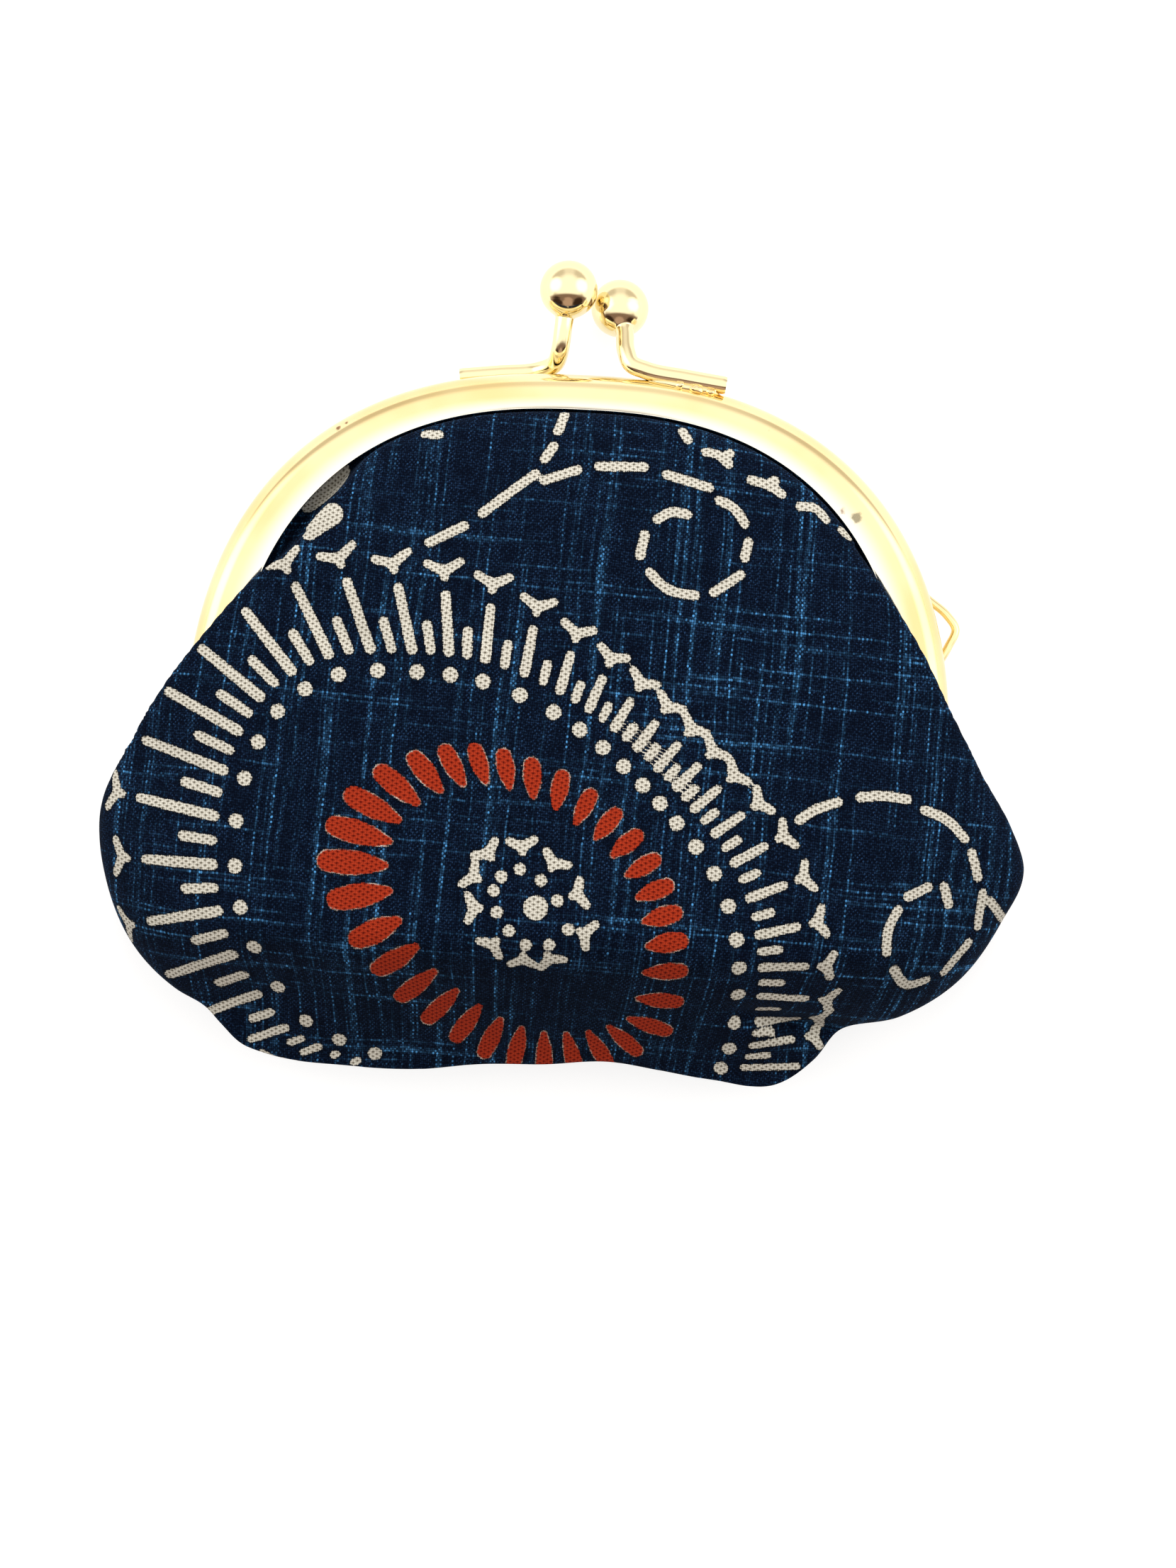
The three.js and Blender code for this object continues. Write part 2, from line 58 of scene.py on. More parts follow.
camera = bpy.data.objects.new("camera", bpy.data.cameras.new("camera"))
camera.data.sensor_fit = "VERTICAL"
camera.data.sensor_height = SENSOR_HEIGHT
camera.data.lens = SENSOR_HEIGHT * CAMERA_DISTANCE / PICTURE_HEIGHT
camera.data.clip_start = 0.01
camera.location = (
    CAMERA_AIM[0] * MM,
    CAMERA_AIM[1] * MM,
    (CAMERA_DISTANCE + SHOW_FACE_HEIGHT) * MM,
)
camera.rotation_euler = (0.0, 0.0, math.radians(CAMERA_TURN))
scene.collection.objects.link(camera)
scene.camera = camera
scene.view_settings.view_transform = "Standard"


# Table and light: a plain white table in a white light tent. The tent's walls are shaded low down, and its
# near side stands open to a brown room with dark stands in it, which polished metal shows.
class Value:
    """One output of a node tree. Arithmetic on it adds Math nodes, and node() adds any other kind."""

    def __init__(self, tree, socket=None):
        self.tree = tree
        self.socket = socket

    def node(self, kind, settings=None, inputs=None, output=0):
        """Adds a node, sets it up, fills its inputs with values or links, and gives one output."""
        made = self.tree.nodes.new(kind)
        for name, setting in (settings or {}).items():
            setattr(made, name, setting)
        for name, given in (inputs or {}).items():
            if isinstance(given, Value):
                self.tree.links.new(given.socket, made.inputs[name])
            else:
                made.inputs[name].default_value = given
        return Value(self.tree, made.outputs[output] if made.outputs else None)

    def math(self, operation, *others, clamp=False):
        given = dict(enumerate([self, *others]))
        return self.node("ShaderNodeMath", {"operation": operation, "use_clamp": clamp}, given)

    def reversed_math(self, operation, first):
        return self.node("ShaderNodeMath", {"operation": operation}, {0: first, 1: self})

    def __add__(self, other):
        return self.math("ADD", other)

    def __radd__(self, other):
        return self.math("ADD", other)

    def __sub__(self, other):
        return self.math("SUBTRACT", other)

    def __rsub__(self, other):
        return self.reversed_math("SUBTRACT", other)

    def __mul__(self, other):
        return self.math("MULTIPLY", other)

    def __rmul__(self, other):
        return self.math("MULTIPLY", other)

    def __truediv__(self, other):
        return self.math("DIVIDE", other)

    def __pow__(self, other):
        return self.math("POWER", other)

    def smooth(self, start, end):
        """0 up to start, 1 from end on, and a smooth step in between; start may lie above end."""
        given = {"Value": self, "From Min": start, "From Max": end}
        return self.node("ShaderNodeMapRange", {"interpolation_type": "SMOOTHSTEP"}, given)

    def mix(self, first, second):
        """The first colour where this value is 0 and the second where it is 1."""
        given = {0: self, 6: first, 7: second}
        return self.node("ShaderNodeMix", {"data_type": "RGBA"}, given, output=2)

    def part(self, axis):
        """One coordinate of a vector."""
        return self.node("ShaderNodeSeparateXYZ", inputs={0: self}, output=axis)

    def vector_math(self, operation, other):
        """A number worked out from two vectors."""
        return self.node("ShaderNodeVectorMath", {"operation": operation}, {0: self, 1: other}, output=1)

    def dot(self, direction):
        return self.vector_math("DOT_PRODUCT", direction)

    def off_whole(self):
        """How far a number lies above the nearest whole one, or below zero if it lies below it."""
        return self - (self + 0.5).math("FLOOR")


def srgb(red, green, blue):
    """A colour given as it looks on a screen, 0 to 255, as the light that it stands for."""
    share = np.array([red, green, blue]) / 255
    light = np.where(share <= 0.04045, share / 12.92, ((share + 0.055) / 1.055) ** 2.4)
    return (*light.tolist(), 1.0)


def new_material(name):
    """An empty material, and a value from which its nodes are made."""
    material = bpy.data.materials.new(name)
    material.use_nodes = True
    material.node_tree.nodes.clear()
    return material, Value(material.node_tree)


TENT_WHITE = (1.36, 1.34, 1.30, 1.0)
TENT_SHADE = (0.76, 0.70, 0.63, 1.0)
TENT_LAMP = (2.30, 2.28, 2.22, 1.0)
ROOM_BROWN = (0.24, 0.16, 0.135, 1.0)
ROOM_PALE = (0.52, 0.36, 0.31, 1.0)
STAND_DARK = (0.040, 0.022, 0.016, 1.0)
# Where the walls' shade starts and is full: the height of a direction, then its reach to either side
SHADE_FOOT = (0.0, 0.22)
SHADE_HEAD = (0.80, 0.42)
SHADE_SIDES = (0.90, 0.80)
SHADE_MIDDLE = (0.15, 0.40)
MIDDLE_STRENGTH = 0.6  # the shade's strength straight ahead and behind
# Where things round the purse start and are full: the cosine of the angle from their middle
LAMP_EDGE = (0.84, 0.99)
OPEN_EDGE = (0.34, 0.48)
THING_EDGE = (0.925, 0.970)
NEAR_SIDE = (0.0, -1.0, 0.0)
LAMPS = [(-0.80, 0.18, 0.57), (0.80, 0.18, 0.57)]  # directions of bright patches behind the side walls
# Things in the room: direction of the middle and colour
ROOM_THINGS = [
    ((0.0, -0.85, 0.53), ROOM_PALE),
    ((-0.60, -0.74, 0.30), STAND_DARK),
    ((0.56, -0.76, 0.32), STAND_DARK),
]
world = bpy.data.worlds.new("light_tent")
world.use_nodes = True
world.node_tree.nodes.clear()
tent = Value(world.node_tree)
sight = tent.node("ShaderNodeTexCoord", output=0)
upward = sight.part(2)
sideways = sight.part(0).math("ABSOLUTE")
low = upward.smooth(*SHADE_FOOT) * upward.smooth(*SHADE_HEAD)
strength = MIDDLE_STRENGTH + sideways.smooth(*SHADE_MIDDLE) * (1 - MIDDLE_STRENGTH)
beside = sideways.smooth(*SHADE_SIDES) * strength
wall = (low * beside).mix(TENT_WHITE, TENT_SHADE)
for patch in LAMPS:
    wall = sight.dot(patch).smooth(*LAMP_EDGE).mix(wall, TENT_LAMP)
wall = sight.dot(NEAR_SIDE).smooth(*OPEN_EDGE).mix(wall, ROOM_BROWN)
for thing, thing_colour in ROOM_THINGS:
    wall = sight.dot(thing).smooth(*THING_EDGE).mix(wall, thing_colour)
tent_light = tent.node("ShaderNodeBackground", inputs={"Color": wall})
tent.node("ShaderNodeOutputWorld", inputs={"Surface": tent_light})
scene.world = world

TABLE_HALF = 6.0
TABLE_TOP = -0.05 * MM  # a hair below the cloth, so that the two don't flicker into each other
TABLE_WHITE = (0.27, 0.27, 0.267, 1.0)
TABLE_ROUGHNESS = 0.7
TABLE_GLOW = 0.76  # light that the lit table gives back whatever lies on it
GLOW_WHITE = (1.0, 1.0, 1.0, 1.0)
table_mesh = bpy.data.meshes.new("table")
corner_signs = [(-1, -1), (1, -1), (1, 1), (-1, 1)]
table_corners = [(x * TABLE_HALF, y * TABLE_HALF, TABLE_TOP) for x, y in corner_signs]
table_mesh.from_pydata(table_corners, [], [(0, 1, 2, 3)])
table = bpy.data.objects.new("table", table_mesh)
scene.collection.objects.link(table)
table_paint, paint = new_material("table_white")
matt_white = paint.node(
    "ShaderNodeBsdfPrincipled",
    inputs={
        "Base Color": TABLE_WHITE,
        "Roughness": TABLE_ROUGHNESS,
        "Emission Color": GLOW_WHITE,
        "Emission Strength": TABLE_GLOW,
    },
)
paint.node("ShaderNodeOutputMaterial", inputs={"Surface": matt_white})
table_mesh.materials.append(table_paint)

# Softboxes: name, place, size and power; each looks at the middle of the purse
SOFTBOXES = [
    ("window", (0.05, 0.70, 0.48), 0.60, 6.5),
    ("left_fill", (-0.66, 0.15, 0.36), 0.50, 0.8),
    ("right_fill", (0.66, 0.15, 0.36), 0.50, 0.8),
]
for name, place, size, power in SOFTBOXES:
    lamp = bpy.data.lights.new(name, "AREA")
    lamp.size = size
    lamp.energy = power
    box = bpy.data.objects.new(name, lamp)
    box.location = place
    backwards = box.location.normalized()
    box.rotation_euler = backwards.to_track_quat("Z", "Y").to_euler()
    box.visible_camera = False
    box.visible_glossy = False
    scene.collection.objects.link(box)


# Front half of the frame: a channel of thin gilt sheet metal bent to an arch, whose groove holds the cloth,
# with a clasp wire soldered along its crown that ends in a ball, and an ear for the hinge at each leg.
rivet_low, rivet_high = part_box("hinge_rivet_right")
HINGE_ABOVE_CENTRE = 1.4  # mm from the arch's centre line to the hinges
ARCH_CENTRE_Y = (rivet_low.y + rivet_high.y) / 2 / MM - HINGE_ABOVE_CENTRE
PARTING_HEIGHT = (rivet_low.z + rivet_high.z) / 2 / MM
HALF_CLEARANCE = 0.15  # from the parting plane to either half
ARCH = (39.0, 40.1, 2.454)  # half width, rise and squareness of the outer edge
FLANGE_EDGE = (34.4, 36.35, 2.454)  # the same of the show face's inner edge
LEG_END = 4.5  # height of the channel's open ends above the centre line
ARCH_STEPS = 280
CHANNEL_THICKNESS = 3.8
SHEET = 0.4
CREST_INSET = 2.3  # from the outer edge to the highest line of the show face
CREST_DEPTH = 2.8  # how far down the outer edge's round reaches
FLANGE_FALL = 0.22  # from the crest to the inner lip
LIP_RADIUS = 0.12
LIP_REACH = 0.10  # how far the lip's roll goes beyond the inner edge
LIP_ROLL = (77, -90)  # degrees from the show face round to the underside
BEHIND_LIP = 1.2  # from the inner edge out to where the underside straightens
GROOVE_ROUND = 0.6  # from the side wall in to where the underside straightens
FOOT_BEVEL = 0.3
EDGE_ROWS = 22
FACE_ROWS = 26
LIP_ROWS = 12


def arch_radius(arch, angle):
    """Distance from the centre to a superellipse: (|cos| / a)^n + (|sin| / b)^n, to the power -1/n."""
    half_width, rise, squareness = arch
    across = np.abs(np.cos(angle)) / half_width
    up = np.abs(np.sin(angle)) / rise
    return (across**squareness + up**squareness) ** (-1 / squareness)


def polar(angle, radius, height):
    """Points at a direction, a distance and a height about the arch's centre, in millimetres."""
    return np.stack(np.broadcast_arrays(radius * np.cos(angle), radius * np.sin(angle), height), axis=-1)


def channel_section():
    """The channel's outline as columns: lip (0 measures from the outer edge, 1 from the inner lip),
    inset from there, and height above the parting plane. The show face is a broad quarter ellipse up to
    its crest, then a slope that steepens like a parabola down to a rolled lip."""
    top = CHANNEL_THICKNESS
    turn = np.linspace(0, np.pi / 2, EDGE_ROWS)
    edge = [np.zeros(EDGE_ROWS), CREST_INSET * (1 - np.cos(turn)), top - CREST_DEPTH * (1 - np.sin(turn))]
    slope = np.linspace(0, 1, FACE_ROWS)[1:]
    roll = np.linspace(*np.radians(LIP_ROLL), LIP_ROWS)
    lip_inset = LIP_REACH - LIP_RADIUS * (1 - np.cos(roll))
    face = [slope, CREST_INSET * (1 - slope) + lip_inset[0] * slope, top - FLANGE_FALL * slope**2]
    lip_middle = top - FLANGE_FALL - LIP_RADIUS * np.sin(roll[0])
    lip = [np.ones(LIP_ROWS), lip_inset, lip_middle + LIP_RADIUS * np.sin(roll)]
    under = lip_middle - LIP_RADIUS
    inside = [
        [1.0, 0.0, 0.0, 1.0, 1.0],
        [-BEHIND_LIP, SHEET + GROOVE_ROUND, SHEET, 0.0, 0.0],
        [under, under, SHEET, SHEET, 0.0],
    ]
    foot = [[0.0, 0.0], [FOOT_BEVEL, 0.0], [0.0, FOOT_BEVEL]]
    return np.concatenate([np.array(run) for run in (edge, face, lip, inside, foot)], axis=1)


def grid_faces(rows, columns, round_columns=False):
    """Four-cornered faces of a grid whose points are numbered row by row, closed round if asked."""
    row = np.arange(rows - 1)[:, None] * columns
    column = np.arange(columns if round_columns else columns - 1)[None, :]
    beside = (column + 1) % columns
    corners = [row + column, row + beside, row + columns + beside, row + columns + column]
    return np.stack(corners, axis=-1).reshape(-1, 4)


def swept(rings):
    """A closed surface through rings of points (ring, point, xyz), with a face across either end."""
    count, around = rings.shape[:2]
    faces = grid_faces(count, around, round_columns=True).tolist()
    last = (count - 1) * around
    faces.append(list(range(around))[::-1])
    faces.append(list(range(last, last + around)))
    return rings.reshape(-1, 3), faces


def channel(side):
    """The section carried round the arch; side is 1 for the front half and -1 for the back half."""
    lip, inset, height = channel_section()
    leg_angle = math.asin(LEG_END / arch_radius(ARCH, math.atan2(LEG_END, ARCH[0])))
    angle = np.linspace(leg_angle, np.pi - leg_angle, ARCH_STEPS + 1)[:, None]
    radius = (1 - lip) * arch_radius(ARCH, angle) + lip * arch_radius(FLANGE_EDGE, angle) - inset
    return swept(polar(angle, radius, PARTING_HEIGHT + side * (HALF_CLEARANCE + height)))


def smooth_path(points, per_span):
    """A cubic curve through points, with slopes from each point's neighbours and equal steps per span."""
    points = np.array(points, float)
    knots = np.concatenate([[0], np.cumsum(np.linalg.norm(np.diff(points, axis=0), axis=1))])
    slopes = np.gradient(points, knots, axis=0)
    spans = [np.linspace(a, b, per_span, endpoint=False) for a, b in zip(knots, knots[1:])]
    fine = np.concatenate([*spans, knots[-1:]])
    span = np.clip(np.searchsorted(knots, fine, side="right") - 1, 0, len(knots) - 2)
    width = (knots[span + 1] - knots[span])[:, None]
    part = ((fine - knots[span]) / width[:, 0])[:, None]
    start = (1 + 2 * part) * (1 - part) ** 2 * points[span] + part * (1 - part) ** 2 * width * slopes[span]
    end = part**2 * (3 - 2 * part) * points[span + 1] - part**2 * (1 - part) * width * slopes[span + 1]
    return start + end


def tube(path, radius, sides):
    """A round profile of changing radius carried along a path, square to it; no path runs along Z."""
    along = np.gradient(path, axis=0)
    along /= np.linalg.norm(along, axis=1, keepdims=True)
    level = np.cross(along, [0, 0, 1])
    level /= np.linalg.norm(level, axis=1, keepdims=True)
    rise = np.cross(level, along)
    turn = np.linspace(0, 2 * np.pi, sides, endpoint=False)[None, :, None]
    ring = np.cos(turn) * level[:, None] + np.sin(turn) * rise[:, None]
    return swept(path[:, None] + np.reshape(radius, (-1, 1, 1)) * ring)


WIRE_RADIUS = 0.92
WIRE_BEVEL = 0.14
WIRE_END_FLAT = 0.02  # the part of the bevel that the end face cuts off
WIRE_STEPS = 14
WIRE_SIDES = 56
BALL_RADIUS = 2.95
BALL_FILLET = 0.35
# Rings of a ball, in degrees from where its wire comes in: close ones over the fillet, then even ones
BALL_RINGS = np.concatenate([[0], np.linspace(9, 24, 14), np.linspace(27, 178, 52), [179.4]])


def clasp_wire(points):
    """A wire that runs into a ball at its last point: its radius is the wire's, then the larger of the
    wire's and the sphere's with a rounded solder fillet between them, until the sphere closes."""
    wire = smooth_path(points, WIRE_STEPS)
    centre = wire[-1]
    heading = (centre - wire[-2]) / np.linalg.norm(centre - wire[-2])
    run = np.cumsum(np.linalg.norm(np.diff(wire, axis=0, prepend=wire[:1]), axis=1))
    before_ball = run < run[-1] - BALL_RADIUS - BALL_FILLET
    wire, run = wire[before_ball], run[before_ball]
    bevel = np.clip((run + WIRE_END_FLAT) / WIRE_BEVEL, 0, 1)
    wire_radius = WIRE_RADIUS - WIRE_BEVEL * (1 - np.sqrt(1 - (1 - bevel) ** 2))
    turn = np.radians(BALL_RINGS)
    offset = -BALL_RADIUS * np.cos(turn)
    sphere = BALL_RADIUS * np.sin(turn)
    neck = np.where(offset < 0, WIRE_RADIUS, 0)
    fillet = BALL_FILLET**2 * (offset < -BALL_RADIUS / 2)
    ball_radius = (sphere + neck + np.sqrt((sphere - neck) ** 2 + fillet)) / 2
    path = np.concatenate([wire, centre + offset[:, None] * heading])
    return tube(path, np.concatenate([wire_radius, ball_radius]), WIRE_SIDES)


BEAD_END = math.radians(86)  # where the drop's rings stop short of its top and bottom
BEAD_WAVES = (0.10, 0.07)  # heights of the three and of the five low waves, as shares of the drop's size


def solder_bead(centre, half_sizes, heading):
    """A flattened drop of solder: an ellipsoid with three and five low waves round it, turned to a heading
    in degrees."""
    rise = np.linspace(-BEAD_END, BEAD_END, 14)[:, None]
    turn = np.linspace(0, 2 * np.pi, 20, endpoint=False)[None, :]
    three, five = BEAD_WAVES
    wave = 1 + three * np.sin(3 * turn + 2 * rise + heading) + five * np.cos(5 * turn - heading)
    length, width, height = half_sizes
    along = length * wave * np.cos(rise) * np.cos(turn)
    across = width * wave * np.cos(rise) * np.sin(turn)
    up = height * np.sin(rise) + 0 * turn
    cos, sin = math.cos(math.radians(heading)), math.sin(math.radians(heading))
    drop = np.stack([along * cos - across * sin, along * sin + across * cos, up], axis=-1)
    return swept(drop + np.array(centre))


EAR_THICKNESS = 0.8
EAR_RADIUS = 2.3
EAR_ROUND = (60, 335)  # degrees of the round about the rivet
EAR_TOP = 3.45
EAR_LOW = 0.45
EAR_OVERLAP = 2.2
EAR_SHOULDER = 0.9  # from the leg's end down to the round
EAR_NOTCH = 0.45  # the same beside the parting plane
EAR_BEVEL = 0.14
EAR_MIDDLE = (1.0, 0.6)  # what the bevel shrinks towards: above the hinge, and from the parting plane
EAR_GAP = 0.3  # between the ears of the two halves
FRONT_EAR_X = ARCH[0] - EAR_THICKNESS
BACK_EAR_X = FRONT_EAR_X - EAR_GAP - EAR_THICKNESS


def ear(side, hand, start):
    """A plate across X: straight down from the leg, then three quarters of a round about the rivet.
    hand is 1 on the right and -1 on the left; the plate's outline shrinks by the bevel on its two faces."""
    turn = np.radians(np.linspace(*EAR_ROUND, 26))
    round_y = HINGE_ABOVE_CENTRE + EAR_RADIUS * np.cos(turn)
    round_z = EAR_RADIUS * np.sin(turn)
    leg = LEG_END + EAR_OVERLAP
    outline_y = np.concatenate([[leg, leg, LEG_END - EAR_SHOULDER], round_y, [LEG_END - EAR_NOTCH]])
    outline_z = np.concatenate([[EAR_LOW, EAR_TOP, EAR_TOP], round_z, [EAR_LOW]])
    middle_y = HINGE_ABOVE_CENTRE + EAR_MIDDLE[0]
    middle_z = EAR_MIDDLE[1]
    depth = np.array([0, EAR_BEVEL, EAR_THICKNESS - EAR_BEVEL, EAR_THICKNESS])[:, None]
    face = 1 - EAR_BEVEL / EAR_RADIUS
    shrink = np.array([face, 1, 1, face])[:, None]
    plate_y = middle_y + shrink * (outline_y - middle_y)
    plate_z = PARTING_HEIGHT + side * (middle_z + shrink * (outline_z - middle_z))
    plate_x = hand * (start + depth) + 0 * outline_y
    return swept(np.stack([plate_x, plate_y, plate_z], axis=-1))


CRISP_ANGLE = math.radians(40)


def make_piece(name, shells, material, replaced):
    """One object from closed shells laid out about the arch's centre in millimetres. Its faces are turned
    outwards by the sign of each shell's volume, and edges sharper than the crisp angle stay crisp."""
    points, faces = [], []
    for shell_points, shell_faces in shells:
        corners = np.array([face[:3] for face in shell_faces])
        a, b, c = (shell_points[corners[:, k]] - shell_points.mean(axis=0) for k in range(3))
        outward = np.einsum("ij,ij->i", a, np.cross(b, c)).sum() > 0
        first = sum(map(len, points))
        faces += [[first + corner for corner in (face if outward else face[::-1])] for face in shell_faces]
        points.append(shell_points)
    placed = (np.concatenate(points) + [0, ARCH_CENTRE_Y, 0]) * MM
    mesh = bpy.data.meshes.new(name)
    mesh.from_pydata(placed, [], faces)
    mesh.shade_smooth()
    mesh.set_sharp_from_angle(angle=CRISP_ANGLE)
    mesh.materials.append(material)
    piece = bpy.data.objects.new(name, mesh)
    scene.collection.objects.link(piece)
    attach(piece, "root")
    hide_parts(*replaced)
    return piece


GILT = srgb(247, 228, 178)
GILT_DEEP = srgb(241, 215, 154)
GILT_LIP_PALE = srgb(255, 251, 238)
GILT_WIRE = srgb(245, 229, 184)
WIRE_FOOT = 38.6  # mm above the arch's centre; the gilding of the clasp wires starts here
TARNISH = srgb(120, 70, 34)
PITTED = srgb(150, 140, 112)
LIP_PALING = 0.9
SPECK_SCALE = 420.0
SPECK_SIZE = (0.16, 0.08)
SPECK_CHANCE = (0.955, 0.960)
SPECK_STRENGTH = 0.85
MARK_EDGE = (1.5, 1.0)  # where a mark starts and is full, in its reach, with its raggedness added
MARK_RAGGED = 1.2
MARK_STRENGTH = 0.9
# Marks of wear on the front half: place on the arch (mm), reach (mm) and colour
WEAR_MARKS = [
    ((26.9, 27.3, 7.9), 0.75, TARNISH),
    ((26.3, 28.0, 7.9), 0.35, TARNISH),
    ((28.4, 26.7, 8.2), 0.85, PITTED),
    ((-12.3, 34.2, 7.8), 0.9, TARNISH),
    ((-24.4, 33.3, 7.6), 0.4, TARNISH),
    ((-23.6, 33.9, 7.6), 0.3, TARNISH),
]


def noise(place, scale, detail):
    """Soft random clouds from 0 to 1 over a place; a larger scale makes them finer."""
    return place.node("ShaderNodeTexNoise", inputs={"Vector": place, "Scale": scale, "Detail": detail})


def stored(make, name, output=2):
    """What the mesh's points hold under a name: a number, or with output 1 a vector."""
    return make.node("ShaderNodeAttribute", {"attribute_name": name}, output=output)


def gilt_metal(name, marks):
    """Bright gilding: its colour deepens in soft clouds and pales towards the inner lip, fine specks and
    the given marks dull it, and a faint swell bends its reflections as on pressed sheet metal."""
    material, make = new_material(name)
    place = make.node("ShaderNodeTexCoord", output=3)
    clouds = noise(place, scale=95.0, detail=3.0)
    swell = noise(place, scale=120.0, detail=1.0)
    fine = noise(place, scale=700.0, detail=2.0)
    ragged = noise(place, scale=1500.0, detail=4.0)
    colour = clouds.smooth(0.35, 0.75).mix(GILT, GILT_DEEP)
    wire_start = (WIRE_FOOT + ARCH_CENTRE_Y) * MM
    colour = place.part(1).smooth(wire_start, wire_start + MM).mix(colour, GILT_WIRE)
    # The colour pales to near white towards the inner lip
    lip = stored(make, "lip_share").smooth(0.1, 1.0)
    colour = (lip * LIP_PALING).mix(colour, GILT_LIP_PALE)
    cells = {"Vector": place, "Scale": SPECK_SCALE, "Randomness": 1.0}
    near = make.node("ShaderNodeTexVoronoi", inputs=cells)
    chance = make.node("ShaderNodeTexVoronoi", inputs=cells, output=1).part(0)
    grime = near.smooth(*SPECK_SIZE) * chance.smooth(*SPECK_CHANCE)
    colour = (grime * SPECK_STRENGTH).mix(colour, TARNISH)
    for (x, y, z), reach, mark_colour in marks:
        away = place.vector_math("DISTANCE", (x * MM, (y + ARCH_CENTRE_Y) * MM, z * MM))
        mark = (away / (reach * MM) + ragged * MARK_RAGGED).smooth(*MARK_EDGE)
        colour = (mark * MARK_STRENGTH).mix(colour, mark_colour)
        grime = grime.math("MAXIMUM", mark)
    height = swell + ragged * grime * 0.6
    bump = make.node("ShaderNodeBump", inputs={"Strength": 0.12, "Distance": 0.0006, "Height": height})
    shader = make.node(
        "ShaderNodeBsdfPrincipled",
        inputs={
            "Base Color": colour,
            "Metallic": 1.0 - grime * 0.35,
            "Roughness": 0.075 + fine * 0.06 + grime * 0.4,
            "Normal": bump,
        },
    )
    make.node("ShaderNodeOutputMaterial", inputs={"Surface": shader})
    return material


def mark_lip(piece):
    """Stores on the channel's points how near they lie to its inner lip: 0 at the crest, 1 at the lip."""
    share = np.zeros(len(piece.data.vertices))
    section = channel_section()[0]
    share[: section.size * (ARCH_STEPS + 1)] = np.tile(section, ARCH_STEPS + 1)
    piece.data.attributes.new("lip_share", "FLOAT", "POINT").data.foreach_set("value", share)


FRONT_WIRE = [
    (14.6, 39.55, 6.7),
    (10.5, 40.1, 6.7),
    (6.4, 40.75, 6.7),
    (4.9, 41.35, 6.55),
    (4.3, 42.7, 6.0),
    (4.1, 44.6, 4.9),
    (3.5, 47.4, 3.02),
]
# Solder between the front wire and the crown: place, half sizes (mm) and heading (degrees)
FRONT_SOLDER = [
    ((10.6, 39.15, 7.2), (3.6, 0.42, 0.42), -8),
    ((11.6, 38.95, 7.45), (0.75, 0.42, 0.42), -10),
    ((9.9, 39.3, 7.4), (0.50, 0.34, 0.36), 5),
    ((13.0, 38.75, 7.35), (0.55, 0.34, 0.36), -14),
]
front_half = make_piece(
    "gilt_front_half",
    [
        channel(1),
        clasp_wire(FRONT_WIRE),
        ear(1, 1, FRONT_EAR_X),
        ear(1, -1, FRONT_EAR_X),
        *[solder_bead(*bead) for bead in FRONT_SOLDER],
    ],
    gilt_metal("gilt_front", WEAR_MARKS),
    ["front_frame"],
)
mark_lip(front_half)

# Back half of the frame: the same channel turned over, whose clasp wire leans forward over the front ball,
# with a small wire loop for a chain soldered to its right side.
BACK_WIRE = [
    (-12.6, 39.7, 2.3),
    (-8.5, 40.2, 2.3),
    (-4.6, 40.7, 2.3),
    (-3.0, 41.3, 3.4),
    (-2.4, 42.7, 5.2),
    (-2.2, 44.6, 5.8),
    (-1.8, 48.7, 5.98),
]
LOOP_WIRE_RADIUS = 0.44
CHAIN_LOOP = [
    (35.75, 19.55, 2.5),
    (36.6, 18.9, 2.5),
    (38.4, 17.5, 2.5),
    (39.35, 16.1, 2.5),
    (38.7, 14.3, 2.5),
    (37.6, 12.2, 2.5),
]
BACK_SOLDER = [
    ((-9.4, 39.3, 1.6), (0.70, 0.34, 0.42), 6),
    ((-6.2, 39.75, 1.6), (0.55, 0.34, 0.42), 8),
]
loop_path = smooth_path(CHAIN_LOOP, 12)
back_half = make_piece(
    "gilt_back_half",
    [
        channel(-1),
        clasp_wire(BACK_WIRE),
        tube(loop_path, np.full(len(loop_path), LOOP_WIRE_RADIUS), 24),
        ear(-1, 1, BACK_EAR_X),
        ear(-1, -1, BACK_EAR_X),
        *[solder_bead(*bead) for bead in BACK_SOLDER],
    ],
    gilt_metal("gilt_back", []),
    ["back_frame"],
)
mark_lip(back_half)

# Hinge rivets: a plain gilt rivet at either leg of the frame. Its shank goes through the ears of both
# halves, and its domed head lies outside them.
RIVET_RADIUS = 0.75
RIVET_HEAD_RADIUS = 1.4
RIVET_HEAD_THICKNESS = 0.6
RIVET_HEAD_EDGE = 0.05  # by which the head's flat underside stays inside its rim
RIVET_HEAD_START = ARCH[0] + 0.3


def rivet(hand):
    """A profile turned about X: shank, flat under the head, then the head's dome as a quarter ellipse."""
    turn = np.linspace(0, np.radians(88), 14)
    dome = RIVET_HEAD_START + RIVET_HEAD_THICKNESS * np.sin(turn)
    along = np.concatenate([[BACK_EAR_X, RIVET_HEAD_START, RIVET_HEAD_START], dome])
    shank = [RIVET_RADIUS, RIVET_RADIUS, RIVET_HEAD_RADIUS - RIVET_HEAD_EDGE]
    radius = np.concatenate([shank, RIVET_HEAD_RADIUS * np.cos(turn)])
    spin = np.linspace(0, 2 * np.pi, 40, endpoint=False)[None, :]
    x = hand * along[:, None] + 0 * spin
    y = HINGE_ABOVE_CENTRE + radius[:, None] * np.cos(spin)
    z = PARTING_HEIGHT + radius[:, None] * np.sin(spin)
    return swept(np.stack([x, y, z], axis=-1))


